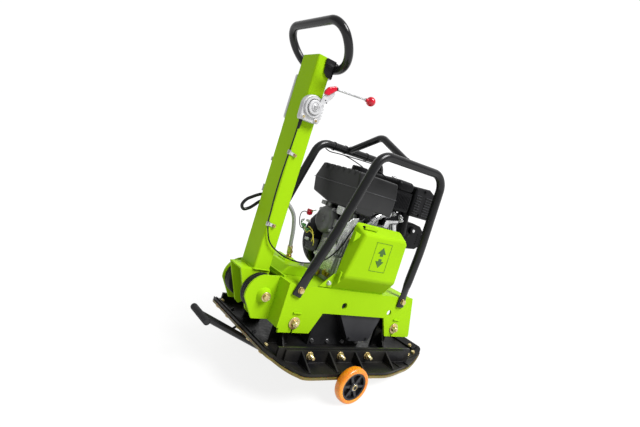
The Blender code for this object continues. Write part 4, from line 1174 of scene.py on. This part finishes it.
def build_muffler():
    muffler = Extent("muffler")
    low, high = muffler.low - Z * 0.01, muffler.high
    outline = [(low.x, low.z), (high.x - 0.012, low.z), (high.x, low.z + 0.014), (high.x, high.z - 0.048),
               (high.x - 0.02, high.z - 0.018), (high.x - 0.062, high.z), (low.x, high.z - 0.006)]
    shapes = [slab(outline, low.y + 0.001, high.y - 0.001, 0.009, 5)]
    slots, lips = [], []
    for k in range(8):
        z = low.z + 0.014 + k * 0.0105
        for start, end in ((low.x + 0.01, low.x + 0.04),
                           (low.x + 0.066, high.x - 0.016 - max(0, k - 4) * 0.006)):
            lip = [(low.y - 0.0032, z - 0.001), (low.y + 0.003, z + 0.004), (low.y + 0.003, z - 0.002)]
            lips.append(slab(lip, start, end, 0.0007, 2, axis="X"))
            # painted shade: a near-black strip under each lip stands in for the shade in the slot
            slots.append(block(((start + end) / 2, low.y + 0.0006, z - 0.0046),
                               (end - start, 0.0022, 0.0042)))
    for k in range(6):
        z = low.z + 0.02 + k * 0.0105
        slots.append(block((high.x - 0.0006, (low.y + high.y) / 2, z - 0.0046),
                           (0.0022, high.y - low.y - 0.05, 0.0042)))
    piece("muffler_guard", "muffler", *shapes, replaces=["muffler"])
    # the slots' near-black strips are painted shade
    piece("muffler_slot_painted_shade", "dark", *slots)
    # painted highlight: the louvre lips, pressed from the same black guard, are drawn in a lighter grey
    # that stands in for the light they catch
    piece("muffler_louvres_painted_highlight", "guard_grey", *lips)
    piece("muffler_screws", "plastic", bolt(0.006, (low.x + 0.052, low.y, low.z + 0.012), -Y),
          bolt(0.006, (low.x + 0.052, low.y, high.z - 0.014), -Y))
    piece("heat_shield", "muffler",
          lathe(mm((0, 0), (18, 0), (21, 6), (21, 100), (17, 108), (0, 108)), (0.232, -0.048, 0.47),
                (-0.18, 0.0, 1.0), 36))
    pipe = mm((190, -30, 520), (205, -40, 545), (228, -45, 566), (240, -45, 580))
    piece("exhaust_pipe", "casting", tube(smooth_path(pipe, 6), 0.016, 24))


def build_cylinder_head():
    head = Extent("cylinder_head")
    lean = math.radians(28)
    out = Vector((math.cos(lean), 0, math.sin(lean)))
    across = Vector((-math.sin(lean), 0, math.cos(lean)))
    root = Vector((0.08, head.mid.y, 0.412))
    turn = Matrix((out, Y, across)).transposed().to_4x4()

    def plate(distance, thick, wide, tall, soft):
        return moved(block((distance, 0, 0), (thick, wide, tall), soft, 2), Matrix.Translation(root) @ turn)
    wide = head.high.y - head.low.y
    shapes = [plate(0.055, 0.1, wide - 0.03, 0.104, 0.006)]
    for k in range(9):
        shapes.append(plate(0.018 + k * 0.0105, 0.0032, wide - 0.002, 0.132 - 0.002 * k, 0.0011))
    piece("cylinder_fins", "casting", *shapes, replaces=["cylinder_head"])
    piece("head_cover", "bright", plate(0.12, 0.022, wide - 0.016, 0.094, 0.007))
    studs = []
    for y in (-0.036, 0.036):
        for z in (-0.036, 0.036):
            at = root + turn.to_3x3() @ Vector((0.131, y, z))
            studs.append(bolt(0.008, at, out, stud=0.003))
    for x, z in ((0.1, 0.553), (0.134, 0.545), (0.176, 0.541), (0.184, 0.529)):
        studs.append(bolt(0.0085, (x, -0.068, z), -Y, stud=0.008))
    piece("head_studs", "polished", *studs)
    flange = mm((96, 490), (170, 512), (196, 530), (190, 550), (96, 560))
    piece("exhaust_flange", "plastic", slab(flange, -0.068, -0.02, 0.003, 3))
    patch = mm((98, 486), (120, 484), (128, 506), (172, 516), (168, 524), (104, 514))
    piece("head_bracket", "bright", slab(patch, -0.075, -0.069, 0.0012))
    shroud = mm((228, 518), (290, 530), (338, 524), (376, 496), (382, 452), (346, 424), (272, 418),
                (228, 430))
    piece("head_shroud", "plastic", slab(shroud, -0.05, 0.034, 0.006, 3))
    louvres = [block((0.35, -0.051, 0.448 + 0.01 * k), (0.034, 0.003, 0.004), 0.001) for k in range(5)]
    piece("shroud_louvres", "plastic", *louvres)
    plug = Extent("spark_plug_cap")
    at = (plug.low.x + 0.001, plug.mid.y, plug.mid.z)
    profile = mm((0, 0), (13, 0), (14.5, 4), (12.5, 8), (12.5, 34), (15, 38), (15, 50), (11, 56), (0, 57))
    boot = lathe(mm((0, 0), (16, 0), (16, 6), (13.5, 10), (0, 11)), (0.286, -0.05, 0.5), -Y, 36)
    piece("spark_plug_boot", "plastic", lathe(profile, at, X, 32), boot, replaces=["spark_plug_cap"])
    piece("spark_plug_tip", "bright",
          lathe(mm((0, 0), (6.2, 0), (6.2, 4), (0, 5)), (0.286, -0.0608, 0.5), -Y, 24))
    lead = [(plug.high.x - 0.012, plug.mid.y + 0.01, plug.mid.z),
            (plug.high.x - 0.01, plug.mid.y + 0.04, plug.mid.z + 0.01),
            (0.24, 0.04, 0.49), (0.19, 0.062, 0.47), (0.14, 0.07, 0.45)]
    piece("spark_lead", "cable", tube(smooth_path(lead, 6), 0.0035, 12))


def build_wiring():
    piece("red_connector", "red", block((-0.128, 0.104, 0.458), (0.014, 0.024, 0.02), 0.003, 3),
          block((-0.134, 0.098, 0.452), (0.012, 0.014, 0.014), 0.002, 2))
    runs = {
        "green_wire": (mm((-116, 82, 472), (-128, 92, 462), (-130, 96, 452)),
                       mm((-134, 116, 420), (-138, 122, 406), (-136, 104, 392), (-138, 92, 402),
                          (-134, 78, 386), (-128, 64, 390), (-122, 52, 378)),
                       mm((-130, 126, 398), (-136, 108, 404), (-136, 94, 384), (-128, 74, 398))),
        "yellow_wire": (mm((-132, 78, 404), (-138, 56, 404), (-138, 36, 394), (-136, 24, 374),
                           (-132, 18, 356), (-122, 30, 344)),
                        mm((-130, 112, 396), (-136, 94, 394), (-134, 76, 380), (-134, 60, 392),
                           (-132, 34, 380), (-134, 30, 358))),
        "cable": (mm((-128, 112, 450), (-132, 132, 452), (-134, 148, 440), (-134, 146, 414),
                     (-132, 132, 392), (-130, 116, 388), (-118, 96, 386)),
                  mm((-130, 118, 424), (-136, 128, 416), (-136, 118, 398), (-132, 88, 392)),
                  mm((-130, 74, 380), (-128, 84, 350), (-118, 76, 318), (-104, 60, 290))),
    }
    for look, routes in runs.items():
        piece(look + "_runs", look, *[tube(smooth_path(route, 8), 0.0018, 8) for route in routes])
    piece("wire_plugs", "holder", block((-0.132, 0.09, 0.424), (0.012, 0.016, 0.01), 0.002, 2),
          block((-0.13, 0.066, 0.36), (0.012, 0.018, 0.01), 0.002, 2))
    piece("wire_sleeves", "green_wire", block((-0.136, 0.104, 0.404), (0.01, 0.018, 0.01), 0.002, 2),
          block((-0.134, 0.078, 0.392), (0.01, 0.014, 0.009), 0.002, 2))
    piece("rectifier", "casting_dark", block((-0.112, 0.052, 0.345), (0.028, 0.04, 0.05), 0.004, 3),
          *[block((-0.127, 0.052, 0.327 + 0.009 * k), (0.006, 0.038, 0.0025), 0.0008) for k in range(5)])
    # the tied cable under the left hoop's top, which drops to the tank
    hoop = Extent("roll_hoop_left")
    y = hoop.low.y - 0.003
    runs = ([(-0.098, y + 0.016, 0.712), (-0.073, y + 0.012, 0.7065), (-0.021, y + 0.012, 0.7105),
             (0.061, y + 0.012, 0.715), (0.15, y + 0.012, 0.7185), (0.196, y + 0.016, 0.719)],
            [(0.0, y + 0.012, 0.712), (0.004, 0.12, 0.703), (0.0, 0.06, 0.69),
             (-0.012, 0.02, 0.6815)],
            mm((24, 12, 690), (45, 4, 688.5), (75, 0, 683), (104, 0, 672)))
    piece("tied_cable", "cable", *[tube(smooth_path(run, 8), 0.0022, 10) for run in runs])
    ties = [lathe(mm((16.8, -2), (18.2, -2), (18.2, 2), (16.8, 2)), (x, hoop.mid.y, z), X, 28, closed=True)
            for x, z in ((-0.06, 0.7326), (0.0, 0.7345), (0.12, 0.7374))]
    piece("cable_ties", "cable", *ties)


# ---------------------------------------------------------------- drawbar, handle and throttle

THROTTLE_CABLE = mm((-392, -57, 750), (-391, -55, 700), (-393.5, -55, 642), (-397, -55.5, 560),
                    (-397, -56, 492), (-394, -56, 442), (-390.5, -56, 400), (-366, -58, 345),
                    (-320, -61, 315), (-262, -66, 298), (-205, -78, 300), (-152, -97, 325),
                    (-112, -106, 374), (-86, -106, 428), (-64, -106, 474), (-36, -104, 502))
HYDRAULIC_HOSE = mm((-318, 0, 478), (-295, 2, 471), (-262, 8, 442), (-241, 15, 396), (-228, 22, 345),
                    (-217, 28, 300))
HOSE_LOOP = mm((-340, 47, 490), (-357, 60, 487), (-383, 64, 478), (-405, 66, 465), (-425, 69, 449),
               (-434, 71, 428), (-423, 72, 415), (-405, 70, 423), (-392, 67, 436), (-376, 64, 454),
               (-357, 60, 464), (-340, 47, 466))


def build_drawbar():
    low, high = DRAWBAR.low, DRAWBAR.high
    outline = rounded_rectangle((low.x, low.y), (high.x, high.y), 0.0065, 5)
    shapes = [slab(outline, low.z, high.z, 0.0016, 3, 50, axis="Z")]
    foot = rounded_rectangle((low.x - 0.001, low.y - 0.001), (high.x + 0.001, high.y + 0.001), 0.007, 3)
    base = [(x, y, low.z + 0.001) for x, y in foot]
    shapes.append(weld(base + [base[0]], 0.002))
    studs = [block((low.x + 0.006, high.y + 0.0025, z), (0.014, 0.006, tall), 0.0015)
             for z, tall in ((0.608, 0.014), (0.506, 0.024))]
    piece("drawbar_studs", "holder", *studs, body="drawbar")
    piece("drawbar_beam", "green", *shapes, body="drawbar", replaces=["drawbar_tube"])
    piece("drawbar_channel", "green", refined("drawbar_bracket", 0.0022, 3), body="drawbar",
          replaces=["drawbar_bracket"])

    holder = Extent("document_holder")
    leaf = rounded_rectangle((holder.low.x, holder.low.z), (holder.high.x, holder.high.z), 0.008)
    lid = rounded_rectangle((holder.low.x + 0.003, holder.high.z - 0.04),
                            (holder.high.x - 0.003, holder.high.z - 0.003), 0.006)
    piece("document_holder_box", "holder", slab(leaf, holder.low.y, holder.high.y - 0.0022, 0.002, 3),
          slab(lid, holder.high.y - 0.003, holder.high.y, 0.001, 2), body="drawbar",
          replaces=["document_holder"])

    clamp = Extent("handle_clamp")
    pivot = Vector((-0.312, 0.0, 0.942))
    front, wide = DRAWBAR.high.x, clamp.high.y
    shapes = [block((front + 0.0035, 0, clamp.mid.z), (0.006, wide * 2, clamp.high.z - clamp.low.z),
                    0.0012)]
    for side in (RIGHT, LEFT):
        cheek = [(front - 0.033, clamp.high.z - 0.003), (front - 0.029, clamp.low.z + 0.01),
                 (front - 0.014, clamp.low.z - 0.002), (front + 0.006, clamp.low.z - 0.002),
                 (front + 0.006, clamp.high.z), (front - 0.03, clamp.high.z)]
        shapes.append(slab(cheek, *sorted((side * (wide - 0.0045), side * wide)), 0.0012))
        lug = (front + 0.014, side * 0.021, clamp.mid.z - 0.004)
        shapes.append(block(lug, (0.02, 0.012, 0.042), 0.002))
    piece("handle_clamp_saddle", "tube_black", *shapes, body="drawbar", replaces=["handle_clamp"])
    strap = arc((pivot.x, pivot.z), 0.0235, 128, 8, 14) + arc((pivot.x, pivot.z), 0.0205, 8, 128, 14)
    piece("handle_clamp_strap", "tube_black", slab(strap, -0.044, -0.026, 0.0008),
          slab(strap, 0.026, 0.044, 0.0008), body="drawbar")
    piece("handle_clamp_bolts", "steel",
          *[bolt(0.007, (front + 0.014, side * 0.021, clamp.low.z + 0.006), -Z, stud=0.003)
            for side in (RIGHT, LEFT)], body="drawbar")

    lean = math.radians(41.0)
    across, tall, top, bottom = 0.152, 0.154, 0.054, 0.098
    outline = (arc((across - bottom, bottom), bottom, -90, 0, 20)
               + arc((across - top, tall - top), top, 0, 90, 16)
               + arc((top - across, tall - top), top, 90, 180, 16)
               + arc((bottom - across, bottom), bottom, 180, 270, 20))
    path = [(pivot.x - up * math.sin(lean), y, pivot.z + up * math.cos(lean)) for y, up in outline]
    piece("ring_handle_tube", "tube_black", tube(path, 0.014, 28, True), body="handle",
          replaces=["ring_handle"])


def build_throttle():
    hub = Vector((-0.366, 0.0, 0.801))
    body = Extent("throttle_body")
    near, face = body.high.y, body.low.y
    outline = mm((-403.5, 760), (-400, 752), (-350, 752), (-330, 756), (-326, 768), (-326, 818))
    outline += arc((hub.x, hub.z), 0.0385, 40, 176, 18)
    shapes = [slab(outline, face + 0.008, near, 0.0035, 3)]
    rim = mm((0, -4), (34.5, -4), (34.5, 5), (32.5, 7.5), (26.5, 7.5), (25.5, 2), (0, 2))
    shapes.append(lathe(rim, (hub.x, face + 0.0085, hub.z), -Y, 64))
    for x, z in ((-0.392, 0.7625), (-0.344, 0.7625)):
        shapes.append(disc(0.0075, 0.0, 0.004, 0.001, (x, face + 0.009, z), -Y))
    for k in range(4):
        shapes.append(block((-0.327, face + 0.014, 0.776 + 0.01 * k), (0.005, 0.012, 0.004), 0.001))
    piece("throttle_housing", "die_cast", *shapes, body="drawbar", replaces=["throttle_body"])
    piece("throttle_screws", "zinc",
          *[bolt(0.0046, (x, face + 0.005, 0.7625), -Y, washer_size=1.9) for x in (-0.392, -0.344)],
          body="drawbar")

    lever = Extent("throttle_lever")
    y0, y1 = lever.low.y, lever.high.y
    plate = mm((-356, 818), (-346.5, 811), (-329, 830), (-313, 848), (-308, 864), (-316, 876), (-342, 856),
               (-350, 840))
    arm = slab(plate, y0 + 0.002, y1 + 0.0005, 0.0014, 2)
    wheel = mm((0, 0), (23.5, 0), (23.5, 3.5), (22, 4.8), (15, 4.8), (14.2, 3), (12.8, 3), (12.2, 6),
               (10.5, 6.8), (0, 6.8))
    piece("throttle_arm", "die_cast", arm, lathe(wheel, (hub.x, y1, hub.z), -Y, 56), body="throttle",
          replaces=["throttle_lever"])
    piece("throttle_hub_nut", "steel", bolt(0.007, (hub.x, y1 - 0.0066, hub.z), -Y), body="throttle")
    piece("throttle_arm_screws", "dark",
          *[disc(0.0022, 0.0, 0.0012, 0.0003, (x, y0 + 0.0022, z), -Y, 16)
            for x, z in ((-0.337, 0.834), (-0.331, 0.8275))], body="throttle")
    knob = Extent("throttle_knob")
    start, end = Vector((-0.318, knob.mid.y, 0.879)), knob.mid
    piece("throttle_rod", "steel", tube([start, end], 0.0031, 16), body="throttle")
    heading = (end - start).normalized()
    radius = (knob.high.z - knob.low.z) / 2
    ball = [(radius * math.sin(a), -radius * math.cos(a)) for a in (math.pi * k / 18 for k in range(1, 18))]
    collar = [(0.0, -radius - 0.007), (0.0058, -radius - 0.007), (0.0064, -radius + 0.002)]
    piece("throttle_ball", "red", lathe(collar + ball[4:] + [(0.0, radius)], knob.mid, heading, 40),
          body="throttle", replaces=["throttle_knob"])
    sleeve = mm((-351, 850), (-334, 851), (-308, 876), (-307, 885), (-315, 889), (-342, 876), (-351, 862))
    piece("throttle_sleeve", "red", slab(sleeve, y0 - 0.004, y1 - 0.001, 0.0035, 4), body="throttle")
    along = Vector((0.72, 0, 0.69))
    piece("throttle_sleeve_end", "plastic",
          lathe(mm((0, 0), (6.2, 0), (6.2, 4), (4.5, 6), (0, 6)), (-0.3105, (y0 + y1) / 2 - 0.002, 0.88),
                along, 24), body="throttle")


def bends(obj):
    """A line that hangs between the drawbar and the engine's frame: its placement is baked into its mesh,
    on no body.
    """
    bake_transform(obj)


def build_lines():
    route = smooth_path(THROTTLE_CABLE, 10)
    sheath = piece("throttle_cable_sheath", "cable", tube(route, 0.0024, 14), body=None,
                   replaces=["throttle_cable"])
    bends(sheath)
    boot = mm((0, 0), (5.8, 0), (6.2, 10), (5.2, 18), (5.8, 22), (4.8, 30), (4.2, 40), (0, 40))
    piece("throttle_cable_boot", "rubber",
          lathe(boot, route[0] + Vector((0.001, -0.004, 0.012)), Vector((0.04, 0.08, -1.0)), 24),
          body="drawbar")
    for k, (x, z) in enumerate(((-0.393, 0.643), (-0.3905, 0.403))):
        barrel = mm((2.6, -7), (5.6, -7), (6.2, -5), (6.2, 5), (5.6, 7), (2.6, 7))
        at = Matrix.Translation((x + 0.016, DRAWBAR.low.y - 0.0022, z - 0.003))
        strap = moved(block((0, 0, 0), (0.032, 0.0024, 0.011), 0.0008), at @ Matrix.Rotation(0.16, 4, "Y"))
        piece(f"cable_clip_{k + 1}", "polished",
              lathe(barrel, (x, DRAWBAR.low.y - 0.006, z), Z, 28, closed=True), strap, body="drawbar")
        piece(f"cable_clip_screw_{k + 1}", "zinc",
              bolt(0.006, (x + 0.026, DRAWBAR.low.y - 0.0034, z - 0.005), -Y, washer_size=1.8, stud=0.003),
              body="drawbar")

    hose = smooth_path(HYDRAULIC_HOSE, 10)
    braided = piece("hose_braided", "braid", tube(hose, 0.0072, 32), body=None, replaces=["hydraulic_hose"])
    bends(braided)
    for word, body, end, inside, long in (("top", "drawbar", hose[0], hose[6], 0.016),
                                          ("bottom", "upper_mass", hose[-1], hose[-7], 0.03)):
        heading = (end - inside).normalized()
        count = round(long / 0.004) - 1
        ferrule = [(0.0, -long), (0.0088, -long), (0.01, -long + 0.003)]
        ferrule += [(0.01 - 0.0008 * (k % 2), -long + 0.004 + 0.004 * k) for k in range(count)]
        ferrule += [(0.0088, 0.0), (0.0, 0.001)]
        piece(f"hose_ferrule_{word}", "zinc", lathe(ferrule, end, heading, 28), body=body)
    piece("drawbar_fitting", "steel", hex_head(0.012, (DRAWBAR.high.x, 0.0, 0.48), X, 0.6), body="drawbar")
    piece("hose_loop_sheath", "tube_black", tube(smooth_path(HOSE_LOOP, 10), 0.0056, 18), body="drawbar",
          replaces=["hose_loop"])
    grommet = mm((0, -1), (9.5, -1), (10, 1), (8.5, 4), (7, 6), (0, 6))
    piece("hose_loop_grommets", "rubber",
          *[lathe(grommet, (end[0], DRAWBAR.high.y, end[2]), (-0.3, 1.0, 0.0), 28)
            for end in (HOSE_LOOP[0], HOSE_LOOP[-1])], body="drawbar")


# ---------------------------------------------------------------- trolley

def build_trolley():
    frame_at = Extent("trolley_frame")
    grip = Vector((-0.502, 0.0, 0.058))
    bend, wheel_x = Vector((-0.205, 0.0, -0.068)), Extent("wheel_right").mid.x
    cross = Vector((wheel_x, 0.0, -0.0216))
    beam = tube([(wheel_x, -0.3, cross.z), (wheel_x, 0.3, cross.z)], 0.012, 24)
    shapes = [tube(round_corners([grip, bend, cross], 0.05, 8), 0.0122, 24), soften(beam, 0.001, 2, 60),
              tube([(wheel_x, frame_at.low.y + 0.001, Extent("wheel_right").mid.z),
                    (wheel_x, frame_at.high.y - 0.001, Extent("wheel_right").mid.z)], 0.0072, 24),
              tube([(-0.376, 0.0, 0.006), (-0.356, 0.0, 0.0215)], 0.0045, 16),
              tube([(grip.x, -0.06, grip.z), (grip.x, 0.06, grip.z)], 0.01, 20),
              weld([(grip.x + 0.0085, -0.012, grip.z - 0.008), (grip.x + 0.0085, 0.012, grip.z - 0.008)],
                   0.002)]
    piece("trolley_bars", "tube_black", *shapes, body="trolley", replaces=["trolley_frame"])
    rings = mm((9.8, -61), (11.5, -61), (12, -58))
    count = 22
    for k in range(count):
        y = -0.054 + 0.108 * k / (count - 1)
        rings += [(0.012, y - 0.0014), (0.0114, y), (0.012, y + 0.0014)]
    rings += mm((12, 58), (11.5, 61), (9.8, 61))
    piece("trolley_grip", "rubber", lathe(rings, grip, Y, 40, closed=True), body="trolley")
    for side, word, body in ((RIGHT, "right", "near_wheel"), (LEFT, "left", "far_wheel")):
        build_wheel(side, word, body)


def build_wheel(side, word, body):
    node = "wheel_" + word
    wheel = Extent(node)
    centre, radius = wheel.mid, (wheel.high.z - wheel.low.z) / 2
    half = (wheel.high.y - wheel.low.y) / 2
    rim = radius * 0.76
    tread = [(rim, -half + 0.001), (radius - 0.008, -half), (radius - 0.003, -half + 0.002),
             (radius - 0.0006, -half + 0.007), (radius, 0.0), (radius - 0.0006, half - 0.007),
             (radius - 0.003, half - 0.002), (radius - 0.008, half), (rim, half - 0.001)]
    piece("tyre_" + word, "tyre", lathe(tread, centre, Y, 96, closed=True), body=body, replaces=[node])
    hub_r = 0.0155
    shapes = [lathe([(rim - 0.006, -half + 0.003), (rim - 0.001, -half + 0.0018), (rim, -half + 0.004),
                     (rim, half - 0.004), (rim - 0.001, half - 0.0018), (rim - 0.006, half - 0.003),
                     (rim - 0.007, 0.004), (rim - 0.007, -0.004)],
                    centre, Y, 72, closed=True),
              lathe([(0.008, -half + 0.001), (hub_r - 0.001, -half + 0.001), (hub_r, -half + 0.002),
                     (hub_r, half - 0.002),
                     (hub_r - 0.001, half - 0.001), (0.008, half - 0.001)], centre, Y, 40, closed=True),
              lathe([(hub_r - 0.002, -0.0022), (rim - 0.005, -0.0022), (rim - 0.005, 0.0022),
                     (hub_r - 0.002, 0.0022)],
                    centre, Y, 64, closed=True)]
    for k in range(6):
        turn = Matrix.Translation(centre) @ Matrix.Rotation(2 * math.pi * k / 6, 4, "Y")
        spoke = [(hub_r - 0.002, -0.0055), (rim - 0.005, -0.0042), (rim - 0.005, 0.0042),
                 (hub_r - 0.002, 0.0055)]
        for low, high in ((-half + 0.004, -0.001), (0.001, half - 0.004)):
            shapes.append(moved(slab(spoke, low, high, 0.0014, 2), turn))
    piece("hub_" + word, "hub", *shapes, body=body)
    out = Vector((0, side, 0))
    end = centre + out * (half + 0.0002)
    piece("axle_washer_" + word, "steel", disc(0.011, 0.0, 0.0014, 0.0003, end, out, bore=0.0073),
          body="trolley")
    piece("axle_clip_" + word, "zinc", disc(0.0095, 0.0016, 0.0034, 0.0005, end, out, bore=0.007),
          body="trolley")


# ---------------------------------------------------------------- camera, light and floor

def build_stage():
    scene = bpy.context.scene
    data = bpy.data.cameras.new("camera")
    data.lens = 24.978
    data.sensor_width = 36.0
    camera = bpy.data.objects.new("camera", data)
    camera.location = (-0.9863, -1.2775, 0.8825)
    camera.rotation_euler = (1.3656, -0.134, -0.6049)
    scene.collection.objects.link(camera)
    scene.camera = camera

    reach = 30.0
    mesh = bpy.data.meshes.new("floor")
    mesh.from_pydata([(-reach, -reach, 0), (reach, -reach, 0), (reach, reach, 0), (-reach, reach, 0)], [],
                     [(0, 1, 2, 3)])
    glow = (("Emission Color", (1.0, 1.0, 1.0, 1.0)), ("Emission Strength", 0.84))
    mesh.materials.append(make_look("floor_paint", (0.12, 0.12, 0.12), 0.8, vary=0.02, patches=2.0,
                                    sockets=glow))
    floor = bpy.data.objects.new("floor", mesh)
    scene.collection.objects.link(floor)

    # the room is white in front of the machine and dimmer on the side that it is seen from
    world = bpy.data.worlds.new("studio")
    scene.world = world
    world.use_nodes = True
    nodes, links = world.node_tree.nodes, world.node_tree.links
    place = nodes.new("ShaderNodeTexCoord")
    toward = nodes.new("ShaderNodeVectorMath")
    toward.operation = "DOT_PRODUCT"
    toward.inputs[1].default_value = (0.59, 0.81, 0.0)
    links.new(place.outputs["Generated"], toward.inputs[0])
    ramp = nodes.new("ShaderNodeMapRange")
    ramp.interpolation_type = "SMOOTHSTEP"
    ramp.inputs["From Min"].default_value = -0.1
    ramp.inputs["From Max"].default_value = 0.74
    ramp.inputs["To Min"].default_value = 0.38
    ramp.inputs["To Max"].default_value = 1.02
    links.new(toward.outputs["Value"], ramp.inputs["Value"])
    background = nodes["Background"]
    background.inputs["Color"].default_value = (1.0, 1.0, 1.0, 1.0)
    links.new(ramp.outputs["Result"], background.inputs["Strength"])

    sun = bpy.data.lights.new("key", "SUN")
    sun.energy = 4.6
    sun.angle = math.radians(28)
    key = bpy.data.objects.new("key", sun)
    key.rotation_euler = Vector((0.42, -0.8, 1.0)).to_track_quat("Z", "Y").to_euler()
    scene.collection.objects.link(key)
    scene.view_settings.view_transform = "Standard"


build_base()
build_exciter()
build_upper_frame()
build_belt_cover()
build_roll_cage()
build_crankcase()
build_fan_and_recoil()
build_tank()
build_air_cleaner()
build_muffler()
build_cylinder_head()
build_wiring()
build_drawbar()
build_throttle()
build_lines()
build_trolley()
build_stage()
